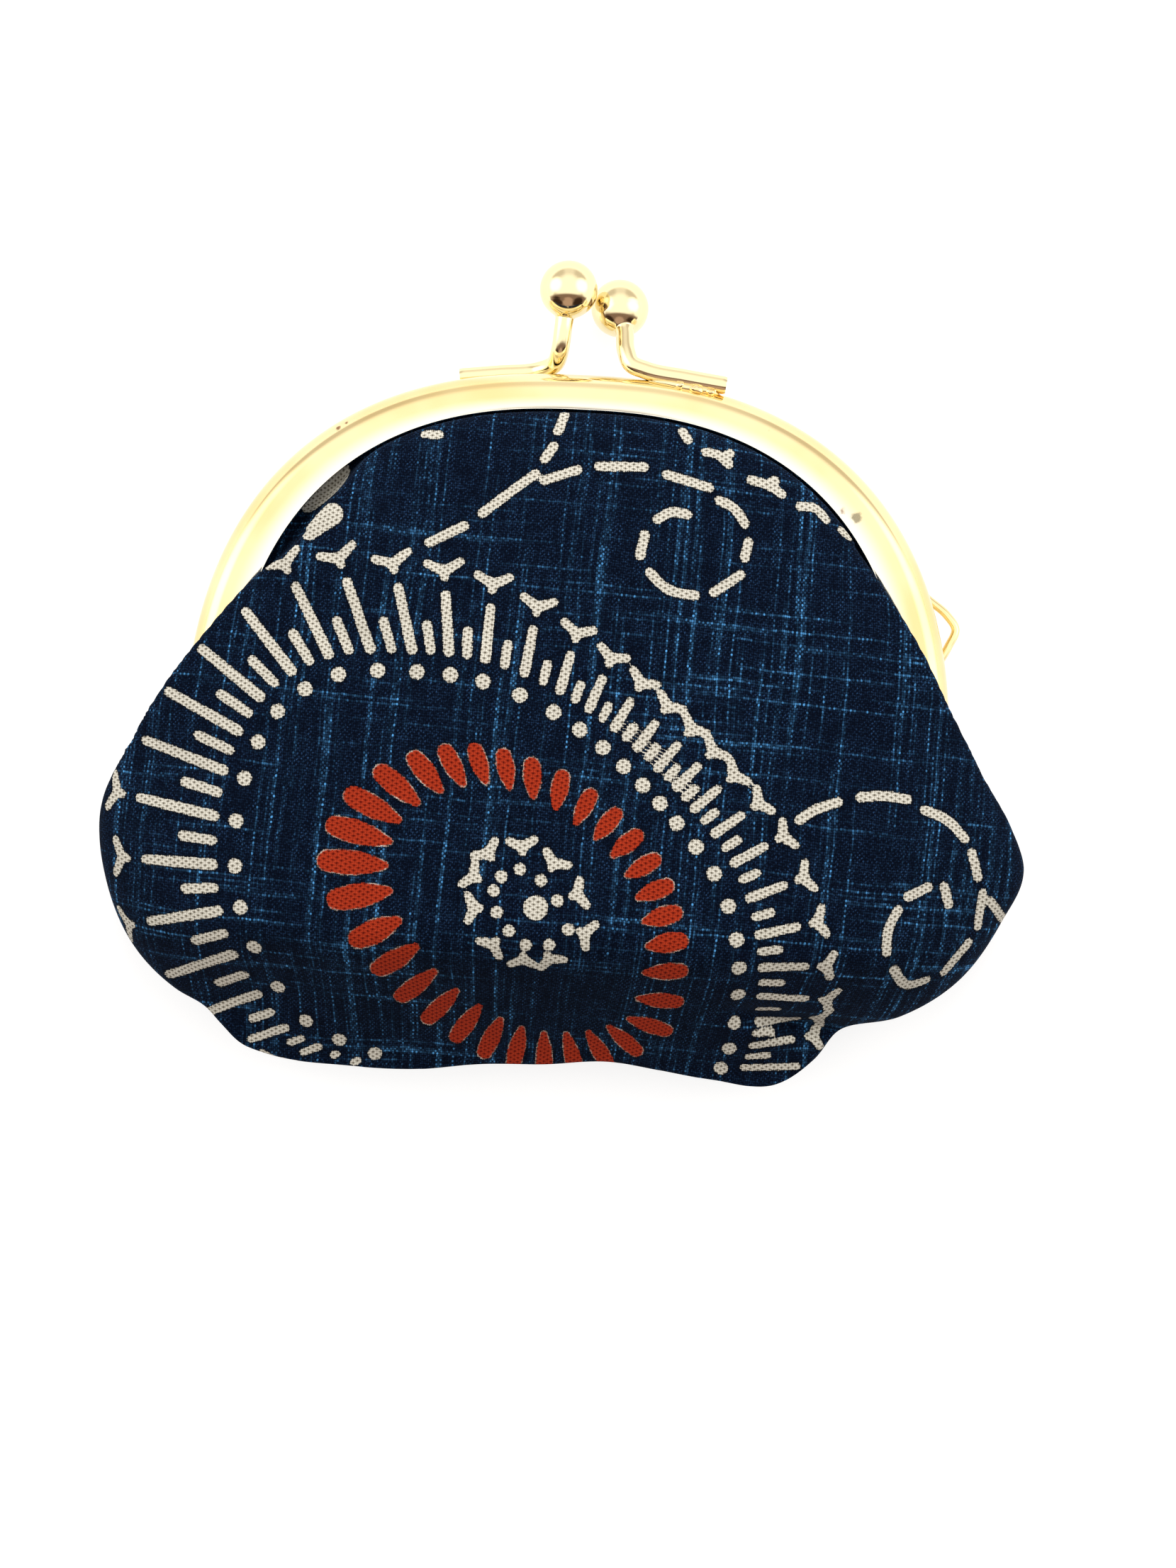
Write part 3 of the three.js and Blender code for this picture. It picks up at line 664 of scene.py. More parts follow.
rivet_metal = gilt_metal("gilt_rivet", [])
for side_name, hand in (("left", -1), ("right", 1)):
    replaced = [f"hinge_rivet_{side_name}"]
    make_piece(f"gilt_rivet_{side_name}", [rivet(hand)], rivet_metal, replaced)

# Front of the bag: indigo slub cotton on a soft backing, printed in ecru and red with a chrysanthemum
# roundel and dashed scrolls. It is glued into the front channel along its top edge, swells out below it,
# and is sewn to the back piece along the sides and bottom.
WALL = 1.2  # mm of the cotton with its backing
NECK_INSET = 0.42  # from the frame's inner lip to the cloth that goes down into the groove
NECK_HEIGHT = 7.9
GROOVE_HEIGHT = 7.0
GROOVE_ENTRY = 0.4
GROOVE_DEPTH_LEFT = 1.0
SEAM_HEIGHT = 5.45
SEAM_GAP = 0.06  # from the seam's middle to either sewn edge
SEAM_TUCK = 1.6  # how far the sewn edges turn in
GLUED_RANGE = (-6, 12)  # degrees over the hinges' level in which the sewn edge becomes a glued one
CROWN_HEIGHT = 17.2
WEDGE_SLOPE = -0.085  # the bag thickens towards its bottom
SIDE_FALL = 0.0022
RIDGE_Y = -18.4  # below this line the swell turns down to the bottom edge
RIDGE_SLOPE = 0.95
RIDGE_ROUND = 0.9
HINGE_DIP = 8.0  # the cloth is drawn in past the hinges
DIP_PLACE = (1, 7)  # middle and half width of that, in degrees over the hinges' level
CROWN_ROLL = 9.1
CROWN_FULLNESS = 2.1
HOLLOW = (137.5, 10.8)  # middle and half width in degrees of the hollow beside the frame at the upper left
HOLLOW_INSET = 1.6  # mm that the swell stays back from the frame there
HOLLOW_RISE = 2.6
HOLLOW_DEPTH = 1.6
HOLLOW_STEEPNESS = 2.2  # mm down the hollow's wall for each one seen from above
# The bag's sides: direction (degrees), reach (mm), height of the widest line (mm), fullness of the swell
SIDE_SECTIONS = [
    (140, 36.7, 9.1, 2.1),
    (150, 36.7, 10.4, 2.6),
    (160, 38.2, 11.3, 3.4),
    (170, 40.9, 10.8, 4.0),
    (180, 44.3, 9.4, 4.4),
    (187, 47.0, 8.0, 4.6),
    (196, 47.8, 7.2, 4.8),
    (206, 47.0, 7.0, 5.0),
    (212, 45.3, 7.0, 4.9),
    (216, 43.7, 7.0, 4.8),
    (219, 43.4, 7.0, 4.8),
    (223, 43.0, 7.0, 4.8),
    (226, 41.9, 7.0, 4.8),
    (236, 37.4, 7.2, 4.8),
    (246, 34.0, 7.4, 4.8),
    (256, 31.2, 7.6, 4.8),
    (268, 30.0, 7.8, 5.0),
    (282, 30.1, 7.8, 5.0),
    (290, 32.0, 7.6, 5.0),
    (298, 34.9, 7.4, 4.8),
    (306, 38.4, 7.2, 4.8),
    (313, 38.8, 7.0, 4.8),
    (319, 38.4, 7.0, 4.8),
    (326, 42.2, 7.0, 4.8),
    (334, 45.2, 7.2, 4.8),
    (343, 46.8, 7.4, 4.6),
    (350, 47.5, 8.2, 4.6),
    (355, 45.4, 9.0, 4.4),
    (360, 42.8, 9.8, 4.2),
    (370, 39.4, 11.0, 3.8),
    (380, 37.8, 11.3, 3.2),
    (390, 36.9, 10.4, 2.6),
    (400, 36.7, 9.1, 2.1),
]
# Folds that come in from the edge: outer end, inner end, width and depth (mm)
FOLDS = [
    ((30.0, -25.6), (15.0, -23.0), 1.1, 3.6),
    ((-36.5, -27.2), (-19.0, -20.0), 3.0, 1.3),
    ((-46.5, 2.8), (-33.0, -5.0), 3.4, 1.0),
]
FOLD_FADE = 0.35  # share of a fold's length from which it fades
DIRECTIONS = 720
ALL_ANGLES = np.arange(DIRECTIONS) / DIRECTIONS * 2 * np.pi
SWELL_ROWS = 200
ROW_CROWDING = 2.2  # above 1, the rows of the swell crowd towards its edge
RIM_STEPS = 16
TABLE_ROWS = 240
RINGS = 128
INNER_ROWS = 18
INNER_END = 0.02  # share of the way out at which the inner face closes


def smooth_step(value, start, end):
    """0 up to start, 1 from end on, and in between the cubic step part^2 * (3 - 2 * part)."""
    part = np.clip((value - start) / (end - start), 0, 1)
    return part**2 * (3 - 2 * part)


def hollow_share(angle):
    """1 in the hollow beside the frame and 0 away from it: a flat-topped bell over the direction."""
    middle, width = HOLLOW
    return np.exp(-(((np.degrees(angle) % 360 - middle) / width) ** 4))


def frame_neck(angle):
    """Distance from the centre at which the cloth goes down into the groove, just inside the lip."""
    return arch_radius(FLANGE_EDGE, angle) - NECK_INSET


def between_rows(table, first_column, per_span):
    """A table's other columns at values between those of its first: a cubic curve through all its rows."""
    curve = smooth_path(table, per_span)
    return [np.interp(first_column, curve[:, 0], column) for column in curve.T[1:]]


def bag_side(angle):
    """Reach, height of the widest line, and fullness in given directions: a cubic curve through the rows of
    the table, and along the frame's crown its inner edge less the inset."""
    first, last = SIDE_SECTIONS[0][0], SIDE_SECTIONS[-1][0]
    degrees = (np.degrees(angle) - first) % 360 + first
    reach, roll, fullness = between_rows(SIDE_SECTIONS, degrees, 16)
    crown = degrees > last
    reach = np.where(crown, frame_neck(angle), reach)
    hollow = hollow_share(angle)
    roll = np.where(crown, CROWN_ROLL, roll) + HOLLOW_RISE * hollow
    return reach - HOLLOW_INSET * hollow, roll, np.where(crown, CROWN_FULLNESS, fullness) + hollow


def fold_depth(x, y):
    """How far the folds press the cloth down: a bell across each fold that fades towards its inner end."""
    depth = np.zeros_like(x)
    for (start_x, start_y), (end_x, end_y), width, deepest in FOLDS:
        length = math.hypot(end_x - start_x, end_y - start_y)
        run_x, run_y = (end_x - start_x) / length, (end_y - start_y) / length
        along = ((x - start_x) * run_x + (y - start_y) * run_y) / length
        across = (y - start_y) * run_x - (x - start_x) * run_y
        depth += deepest * (1 - smooth_step(along, FOLD_FADE, 1)) * np.exp(-((across / width) ** 2))
    return depth


def through_rows(rows, per_span):
    """A cubic curve down each column of an array, through its rows, with slopes from their neighbours."""
    slopes = np.gradient(rows, axis=0)
    part = np.linspace(0, 1, per_span, endpoint=False)[None, :, None]
    start = (1 + 2 * part) * (1 - part) ** 2 * rows[:-1, None] + part * (1 - part) ** 2 * slopes[:-1, None]
    end = part**2 * (3 - 2 * part) * rows[1:, None] - part**2 * (1 - part) * slopes[1:, None]
    return np.concatenate([(start + end).reshape(-1, rows.shape[1]), rows[-1:]])


def over_hinges(angle):
    """Degrees of a direction over the level of the arch's centre, the same on either side."""
    return np.degrees(np.arcsin(np.sin(angle)))


def hinge_dip(angle):
    """How far the cloth is drawn in past the hinges: a bell over the direction."""
    middle, width = DIP_PLACE
    return HINGE_DIP * np.exp(-(((over_hinges(angle) - middle) / width) ** 2))


def down(*values):
    """Values down a section, to be mixed with one value for each direction."""
    return np.array(values)[:, None]


def into_groove(rows, angle):
    """Moves the last two of a glued edge's six radii out into the channel's groove."""
    rows[4] += GROOVE_ENTRY
    rows[5] += arch_radius(ARCH, angle) - GROOVE_DEPTH_LEFT - frame_neck(angle)
    return rows


def rim_curve(sewn, glued, angle):
    """A curve through the six rows of a rim: the sewn ones, which go over into the glued ones at the
    hinges in a smooth step."""
    glued_share = smooth_step(over_hinges(angle), *GLUED_RANGE)
    return through_rows(sewn + glued_share * (glued - sewn), RIM_STEPS)


def front_section(angle):
    """Radius and height from the middle out to the edge, one column per direction. The swell is
    roll + (plane - roll) * sqrt(1 - share^fullness), where the plane leans and falls to the sides; then the
    cloth rolls under to the glued edge in the groove or to the turned-in seam."""
    reach, roll, fullness = bag_side(angle)
    share = 1 - (1 - np.linspace(0, 1, SWELL_ROWS)[:, None]) ** ROW_CROWDING
    x, y = share * reach * np.cos(angle), share * reach * np.sin(angle)
    past_ridge = RIDGE_ROUND * np.logaddexp(0, (RIDGE_Y - y) / RIDGE_ROUND)
    plane = CROWN_HEIGHT + WEDGE_SLOPE * y - SIDE_FALL * x**2 - RIDGE_SLOPE * past_ridge - fold_depth(x, y)
    swell = roll + (plane - roll) * np.sqrt(1 - share**fullness)
    neck = frame_neck(angle)
    hollow = hollow_share(angle)
    overhang = down(1, 0.75, 0.35, 0, 0, 0) + down(0, 0.3, 0.5, 0.3, 0, 0) * hollow
    dip = down(0, 0.15, 0.5, 1, 1, 1) * hinge_dip(angle)
    glued_radius = into_groove(neck + overhang * (reach - neck) - dip, angle)
    glued_height = roll + down(0, 0.35, 0.7, 1, 1, 1) * (NECK_HEIGHT - HOLLOW_DEPTH * hollow - roll)
    glued_height[4:] = GROOVE_HEIGHT
    sewn_radius = reach - SEAM_TUCK * down(0, 0, 0.02, 0.09, 0.3, 1)
    sewn_height = roll + down(0, 0.3, 0.62, 0.86, 0.96, 1) * (SEAM_HEIGHT + SEAM_GAP - roll)
    rim_radius = rim_curve(sewn_radius, glued_radius, angle)
    rim_height = rim_curve(sewn_height, glued_height, angle)
    return np.concatenate([share * reach, rim_radius[1:]]), np.concatenate([swell, rim_height[1:]])


def even_rows(radius, height):
    """The section with rows at even steps along the cloth, and the cloth's length in each direction."""
    steps = np.hypot(np.diff(radius, axis=0), np.diff(height, axis=0))
    run = np.concatenate([np.zeros((1, radius.shape[1])), np.cumsum(steps, axis=0)])
    even_run = np.linspace(0, 1, TABLE_ROWS + 1)[:, None] * run[-1]

    def even(rows):
        return np.stack([np.interp(*column) for column in zip(even_run.T, run.T, rows.T)], axis=1)

    return even(radius), even(height), run[-1]


def read_table(table, share, angle):
    """Values between the rows and columns of a table, mixed from the four nearest ones."""
    column = angle % (2 * np.pi) / (2 * np.pi) * DIRECTIONS
    row = share * TABLE_ROWS
    left, upper = np.floor(column).astype(int), np.minimum(np.floor(row).astype(int), TABLE_ROWS - 1)
    across, below = column - left, row - upper
    left, right = left % DIRECTIONS, (left + 1) % DIRECTIONS
    first = table[upper, left] * (1 - across) + table[upper, right] * across
    second = table[upper + 1, left] * (1 - across) + table[upper + 1, right] * across
    return first * (1 - below) + second * below


def disc_grid():
    """Ring share and direction for a square grid bent into a disc: each square of grid points becomes a
    ring, and the direction runs evenly along its sides."""
    steps = np.arange(-RINGS, RINGS + 1)
    across, up = (grid.ravel() for grid in np.meshgrid(steps, steps, indexing="ij"))
    sideways = np.abs(across) > np.abs(up)
    signed_ring = np.where(sideways, across, up)
    ratio = np.where(sideways, up, across) / np.where(signed_ring == 0, 1, signed_ring)
    angle = np.where(sideways, ratio * np.pi / 4, np.pi / 2 - ratio * np.pi / 4) + np.pi * (signed_ring < 0)
    return np.abs(signed_ring) / RINGS, angle % (2 * np.pi)


def cloth_shell(section, outward):
    """A closed wall of cloth: its outer face on a bent grid, its inner face set back along the section's
    normals, and the raw edge between them. outward is 1 where the outer face looks up and -1 where it
    looks down. Gives points, faces, and each point's place on the flat cloth."""
    radius, height, length = even_rows(*section(ALL_ANGLES))
    length_table = np.broadcast_to(length, radius.shape)
    share, angle = disc_grid()
    outer = polar(angle, read_table(radius, share, angle), read_table(height, share, angle))
    run = share * read_table(length_table, share, angle)
    grid = grid_faces(2 * RINGS + 1, 2 * RINGS + 1)[:, ::-1]
    rim = np.flatnonzero(share == 1)
    rim = rim[np.argsort(angle[rim])]
    slope_radius, slope_height = np.gradient(radius, axis=0), np.gradient(height, axis=0)
    slope = np.hypot(slope_radius, slope_height)
    inner_radius = radius + outward * WALL * slope_height / slope
    inner_height = height - outward * WALL * slope_radius / slope
    inner_share = np.linspace(1, INNER_END, INNER_ROWS)[:, None] + 0 * angle[rim]
    inner_angle = 0 * inner_share + angle[rim]
    inner = polar(
        inner_angle,
        read_table(inner_radius, inner_share, inner_angle),
        read_table(inner_height, inner_share, inner_angle),
    )
    inner_run = inner_share * read_table(length_table, inner_share, inner_angle)
    numbers = np.concatenate([rim, len(outer) + np.arange(inner_share.size)]).reshape(INNER_ROWS + 1, -1)
    beside = np.roll(numbers, -1, axis=1)
    lining = np.stack([numbers[:-1], numbers[1:], beside[1:], beside[:-1]], axis=-1).reshape(-1, 4)
    faces = np.concatenate([grid, lining])
    cap = numbers[-1][::-1]
    if outward < 0:
        faces, cap = faces[:, ::-1], cap[::-1]
    points = np.concatenate([outer, inner.reshape(-1, 3)])
    flat = np.concatenate([polar(angle, run, 0.0), polar(inner_angle, inner_run, 0.0).reshape(-1, 3)])
    return points, faces.tolist() + [cap.tolist()], flat


front_radius, _, front_length = even_rows(*front_section(ALL_ANGLES))


def flatten(places):
    """Places on the front as seen from above, as places on the flat cloth: the same direction, at the run
    along the cloth where the section reaches the place's radius. Places in the hollow lie down its wall."""
    places = np.array(places, float)
    angle = np.arctan2(places[:, 1], places[:, 0]) % (2 * np.pi)
    column = np.round(angle / (2 * np.pi) * DIRECTIONS).astype(int) % DIRECTIONS
    run = []
    for k, away in zip(column, np.hypot(places[:, 0], places[:, 1])):
        widest = front_radius[:, k].argmax() + 1
        share = np.interp(away, front_radius[:widest, k], np.linspace(0, 1, TABLE_ROWS + 1)[:widest])
        beyond = max(0, away - front_radius[widest - 1, k])
        run.append(share * front_length[k] + HOLLOW_STEEPNESS * beyond)
    return np.stack([run * np.cos(angle), run * np.sin(angle)], axis=-1)


# The roundel's rays: number, dot (x, y) and outer end of the long bar (x, y), in mm seen from above
ROUNDEL_RAYS = [
    (0, -17.9, -29.6, -20.0, -30.6),
    (2, -24.9, -26.5, -30.9, -28.9),
    (4, -30.0, -19.1, -39.4, -22.7),
    (6, -32.2, -11.1, -41.9, -10.9),
    (8, -31.7, -2.4, -42.5, 1.1),
    (10, -28.7, 4.4, -37.1, 10.6),
    (12, -22.8, 8.3, -27.8, 17.3),
    (14, -15.0, 8.9, -17.4, 17.6),
    (16, -8.4, 8.2, -8.0, 16.0),
    (18, -1.3, 5.5, 0.2, 11.6),
    (20, 3.7, 2.2, 6.4, 7.2),
    (22, 7.8, -1.3, 11.3, 3.1),
    (24, 11.3, -4.9, 15.5, -1.1),
    (26, 15.2, -9.7, 20.4, -6.6),
    (28, 17.7, -16.1, 24.0, -14.5),
    (30, 18.2, -21.7, 25.5, -21.9),
    (32, 17.8, -27.4, 24.6, -26.2),
    (33, 17.1, -29.5, 25.3, -29.0),
]
# The red petals: number, middle (x, y), length, width (mm), and the heading of the narrow end (degrees)
RED_PETALS = [
    (0, -18.0, -16.9, 5.8, 2.3, 28),
    (2, -13.9, -22.3, 5.5, 1.9, 41),
    (4, -8.8, -26.1, 5.2, 1.9, 57),
    (6, -3.6, -28.5, 5.0, 1.8, 79),
    (8, 2.1, -28.8, 5.0, 1.8, 109),
    (10, 7.3, -27.1, 4.8, 1.8, 140),
    (12, 10.6, -22.6, 4.9, 2.0, 177),
    (14, 10.9, -16.7, 4.3, 1.9, 192),
    (16, 9.5, -11.6, 4.1, 1.7, 204),
    (18, 6.5, -7.1, 4.0, 1.7, 222),
    (20, 2.2, -3.6, 4.0, 1.6, 245),
    (22, -3.1, -1.0, 4.2, 1.7, 275),
    (24, -8.4, 0.2, 4.4, 1.6, 292),
    (26, -13.7, -0.9, 5.2, 1.9, 311),
    (28, -18.9, -4.5, 6.4, 2.1, 335),
    (30, -20.7, -10.2, 7.1, 2.3, 358),
    (32, -18.0, -16.9, 5.8, 2.3, 388),
]
PETAL_COUNT = 32
PETAL_CAPS = 0.65  # share of a petal's width that its round ends add to its length
PETAL_SHIFT = 0.08  # share of its length by which its middle line lies further in
PETAL_WIDTHS = (0.92, 0.40, 0.18)  # outer end, inner end and swell, as shares of its width
ROSETTE_MIDDLE = (-2.2, -13.8)
ROSETTE_MIDDLE_SIZE = 2.4
ROSETTE_DOT_SIZE = 1.2
ROSETTE_FORK_SIZE = 2.7
ROSETTE_DOTS = [
    (-3.9, -10.1),
    (-5.7, -10.9),
    (-1.8, -11.1),
    (-6.4, -12.3),
    (-0.1, -13.0),
    (-6.0, -14.4),
    (1.1, -15.8),
    (-4.7, -16.2),
    (-3.0, -17.5),
    (-0.7, -17.4),
]
ROSETTE_FORKS = [
    (-3.8, -7.9),
    (-7.1, -8.7),
    (-8.4, -11.0),
    (-8.2, -14.1),
    (-6.2, -17.6),
    (-0.6, -9.4),
    (1.8, -12.3),
    (2.7, -16.1),
    (-3.2, -19.0),
    (-0.6, -18.8),
]
# Dashes of the scrolls: the points each one runs through, in millimetres seen from above
UPPER_SCROLL = [
    [(-14.8, 21.7), (-10.7, 23.9)],
    [(-9.6, 24.8), (-6.4, 27.5), (-3.9, 29.5)],
    [(-3.7, 28.5), (0.3, 30.0)],
    [(1.7, 30.3), (7.0, 30.5)],
    [(8.5, 29.9), (13.6, 28.6)],
    [(13.9, 27.6), (15.8, 26.7), (17.1, 24.9)],
    [(17.4, 23.8), (16.9, 21.4)],
    [(17.0, 20.3), (13.7, 17.9)],
    [(12.6, 17.7), (9.5, 18.2), (7.3, 20.1)],
    [(6.5, 21.1), (7.0, 24.0)],
    [(7.8, 25.0), (9.5, 26.0), (11.5, 25.8)],
    [(-3.6, 30.5), (-2.3, 32.5)],
    [(-2.3, 33.4), (-1.5, 35.8)],
]
RIGHT_SCROLL = [
    [(23.1, -4.3), (25.1, -2.9), (27.6, -2.0)],
    [(29.0, -1.6), (31.7, -1.3), (34.6, -1.6)],
    [(35.6, -2.4), (38.3, -3.4), (40.5, -5.5)],
    [(40.9, -6.2), (41.9, -9.4)],
    [(42.4, -10.2), (42.1, -14.3)],
    [(43.0, -11.1), (45.0, -13.4)],
    [(41.5, -15.3), (38.7, -19.0)],
    [(37.5, -19.4), (35.1, -20.1), (33.5, -18.3)],
    [(32.8, -17.2), (32.8, -14.6), (33.9, -12.2)],
    [(34.3, -11.4), (37.0, -10.0)],
    [(38.2, -9.7), (39.0, -12.2)],
]
# Single marks along the frame's inner edge, given in the same way
FRAME_MARKS = [
    [(10.1, 34.7), (11.1, 33.2)],
    [(12.4, 32.4), (14.0, 32.1), (15.3, 31.0)],
    [(14.3, 31.8), (15.4, 32.5)],
    [(17.0, 29.8), (18.8, 29.4), (20.9, 28.3)],
    [(18.9, 29.3), (20.0, 30.0)],
    [(22.0, 27.3), (23.9, 27.3), (25.4, 25.9)],
    [(26.5, 25.4), (27.8, 24.4)],
    [(-15.9, 33.0), (-13.7, 32.9)],
]
# Two broad ecru petals beside the hollow: broad end, narrow end and the two widths
HOLLOW_PETALS = [
    ((-23.9, 28.6), (-27.1, 25.6), 2.6, 2.0),
    ((-24.4, 24.3), (-26.5, 22.4), 2.4, 1.6),
]
SCROLL_WIDTH = 0.95
CAP_REACH = 0.4  # by which a stroke's round caps pass its middle line's ends
# Marks along a ray (mm); the second value is what the rays on the left have more of
RAY_WIDTH = (0.84, 0.10)
FORK_OFFSET = (1.7, 0.4)
FORK_SIZE = (2.9, 0.9)
RAY_DOT_SIZE = 1.5
LEFT_RAYS = (12, 22)  # numbers of the rays between which the left side ends
FIRST_CROWDED = (1, 3.5)  # the same for the rays that crowd at the roundel's first and last end
LAST_CROWDED = (29, 31)
CROWDED_NARROWING = 0.18  # how much narrower the bars of crowded rays are
BAR_START = 2.3  # from the dot's middle to the bars
BAR_TAPER = 1.15  # a long bar's inner width in its outer one
SHORT_BAR_END = (1.2, 0.42)  # from the dot's middle: mm, and a share of the ray's length
SHORT_BAR_TAPER = 1.05  # a short bar's outer width in its inner one
# Arms of a fork: turn from its outward heading (radians) and length as a share of its size
FORK_ARMS = [(math.pi, 0.18), (1.1, 0.52), (-1.1, 0.52)]
FORK_WIDTHS = (1.05, 0.80)  # at an arm's root and at its end
LINE_POINTS = 5
TINY = 1e-9  # keeps a dot, which has no length, from a division by zero


def stroke_distance(flat, start, end, start_width, end_width, swell=0.0):
    """Distance from flat places to a straight brush stroke: to the nearest point of its middle line, less
    half the width there, which runs from one end's to the other's and swells between them like half a
    sine wave; below zero inside the stroke."""
    run = np.subtract(end, start)
    part = np.clip((flat[:, :2] - start) @ run / max(run @ run, TINY), 0, 1)
    away = np.linalg.norm(flat[:, :2] - start - part[:, None] * run, axis=1)
    return away - (start_width + part * (end_width - start_width)) / 2 - swell * np.sin(np.pi * part)


def fork_strokes(tip, outward, size):
    """A three-armed mark: a stem that points inwards and two longer arms that spread outwards."""
    heading = math.atan2(outward[1], outward[0])
    strokes = []
    for turn, length in FORK_ARMS:
        arm = size * length * np.array([math.cos(heading + turn), math.sin(heading + turn)])
        strokes.append((tip, tip + arm, *FORK_WIDTHS))
    return strokes


def seen_line(start, end, start_width, end_width):
    """A line that is straight as seen from above, as four strokes on the flat cloth that widen evenly."""
    line = flatten(np.linspace(start, end, LINE_POINTS))
    widths = np.linspace(start_width, end_width, LINE_POINTS)
    return list(zip(line, line[1:], widths, widths[1:]))


def dash_strokes(dashes, lay):
    """Strokes of some dashes: a cubic curve through each dash's points, laid on the flat cloth by the given
    function and shortened at both ends by the round caps' reach."""
    strokes = []
    for dash in dashes:
        line = lay(smooth_path(dash, 5))
        line[0] += CAP_REACH * (line[1] - line[0]) / np.linalg.norm(line[1] - line[0])
        line[-1] += CAP_REACH * (line[-2] - line[-1]) / np.linalg.norm(line[-2] - line[-1])
        strokes += [(start, end, SCROLL_WIDTH, SCROLL_WIDTH) for start, end in zip(line, line[1:])]
    return strokes


def round_dot(place, size):
    """A dot as a stroke without length."""
    return (place, place, size, size)


def ecru_strokes():
    """Every ecru stroke on the flat cloth as start, end, start width and end width. Each ray of the roundel
    is a dot, a long bar, a fork beyond it, and a short bar on the way to the next ray."""
    strokes = []
    numbers = np.arange(0, ROUNDEL_RAYS[-1][0] + 0.1, 0.5)
    ray_places = np.stack(between_rows(ROUNDEL_RAYS, numbers, 8), axis=1)
    crowded = np.maximum(smooth_step(numbers, *LAST_CROWDED), 1 - smooth_step(numbers, *FIRST_CROWDED))
    left_shares = 1 - smooth_step(numbers, *LEFT_RAYS)
    for number, ray, left, near in zip(numbers, ray_places, left_shares, crowded):
        dot, tip = ray[:2], ray[2:]
        length = np.linalg.norm(tip - dot)
        outward = (tip - dot) / length
        width, fork_offset, fork_size = (
            every + more * left for every, more in (RAY_WIDTH, FORK_OFFSET, FORK_SIZE)
        )
        width -= CROWDED_NARROWING * near
        bar_start = dot + BAR_START * outward
        if number % 1 == 0:
            flat_dot, flat_fork = flatten([dot, tip + fork_offset * outward])
            strokes.append(round_dot(flat_dot, RAY_DOT_SIZE))
            strokes += seen_line(bar_start, tip - CAP_REACH * outward, BAR_TAPER * width, width)
            strokes += fork_strokes(flat_fork, outward, fork_size)
        else:
            reach, share = SHORT_BAR_END
            bar_end = dot + (reach + share * length) * outward
            strokes += seen_line(bar_start, bar_end, width, SHORT_BAR_TAPER * width)
    dots = flatten(ROSETTE_DOTS)
    strokes.append(round_dot(flatten([ROSETTE_MIDDLE])[0], ROSETTE_MIDDLE_SIZE))
    strokes += [round_dot(dot, ROSETTE_DOT_SIZE) for dot in dots]
    for tip in flatten(ROSETTE_FORKS):
        strokes += fork_strokes(tip, tip - dots.mean(axis=0), ROSETTE_FORK_SIZE)
    strokes += dash_strokes([*UPPER_SCROLL, *RIGHT_SCROLL, *FRAME_MARKS], flatten)
    for broad, narrow, broad_width, narrow_width in HOLLOW_PETALS:
        strokes.append((*flatten([broad, narrow]), broad_width, narrow_width))
    return strokes


def red_strokes():
    """Every red petal on the flat cloth: a stroke that is broad and round outside and narrow inside."""
    x, y, length, width, heading = between_rows(RED_PETALS, np.arange(PETAL_COUNT), 8)
    reach = (length - PETAL_CAPS * width)[:, None] / 2
    inward = np.stack([np.cos(np.radians(heading)), np.sin(np.radians(heading))], axis=1)
    middle = np.stack([x, y], axis=1) + PETAL_SHIFT * length[:, None] * inward
    outer, inner = flatten(middle - reach * inward), flatten(middle + reach * inward)
    widths = width[:, None] * PETAL_WIDTHS
    return [(start, end, *sizes) for start, end, sizes in zip(outer, inner, widths)]


NO_PRINT = 5.0  # mm, more than any distance that the print's edge needs


def print_distance(flat, strokes):
    """Distance from flat places to the nearest of some strokes, in millimetres."""
    nearest = np.full(len(flat), NO_PRINT)
    for stroke in strokes:
        nearest = np.minimum(nearest, stroke_distance(flat, *stroke))
    return nearest


WARP_PITCH = 0.215  # mm from one upright thread to the next
WEFT_PITCH = 0.26
GRAIN_TURN = math.radians(-3.2)
GRAIN_WANDER = 1.2  # mm over which the grain drifts
THREAD_SHIVER = 0.9  # threads' widths over which a thread strays
FURROW_SHADE_STEEPNESS = -30.0
WIDE_PORE_SHADE_STEEPNESS = (-6.5, -3.2)  # across and along the upright threads
TONE_STEP = 7.31  # from pair to pair of threads; far above 1, each pair has a tone of its own
SLUB_STEP = 0.62  # from thread to thread; below 1, neighbouring threads share a slub
WARP_SLUB = (0.53, 0.71)  # where slubs start and are full
WEFT_SLUB = (0.58, 0.76)
PRINT_EDGE = (0.05, -0.05)  # mm over which the print's edge fades
HALO_EDGE = (0.30, 0.05)  # mm from the print over which the ground darkens
RED_RIM_EDGE = (0.08, 0.03)
# Deep colours: the yarn's darkest tone and its painted shade in the pores and furrows
INDIGO_DEEP = (0.0005, 0.0014, 0.0050, 1.0)
INDIGO_THREAD = (0.0330, 0.0930, 0.2260, 1.0)
INDIGO_SLUB = (0.0780, 0.2900, 0.6000, 1.0)
INDIGO_HALO = (0.0009, 0.0014, 0.0030, 1.0)
ECRU_DEEP = (0.060, 0.047, 0.028, 1.0)
ECRU_THREAD = (0.560, 0.533, 0.462, 1.0)
RED_DEEP = (0.060, 0.002, 0.001, 1.0)
RED_THREAD = (0.305, 0.028, 0.009, 1.0)
SHEEN_BLUE = (0.45, 0.65, 1.0, 1.0)


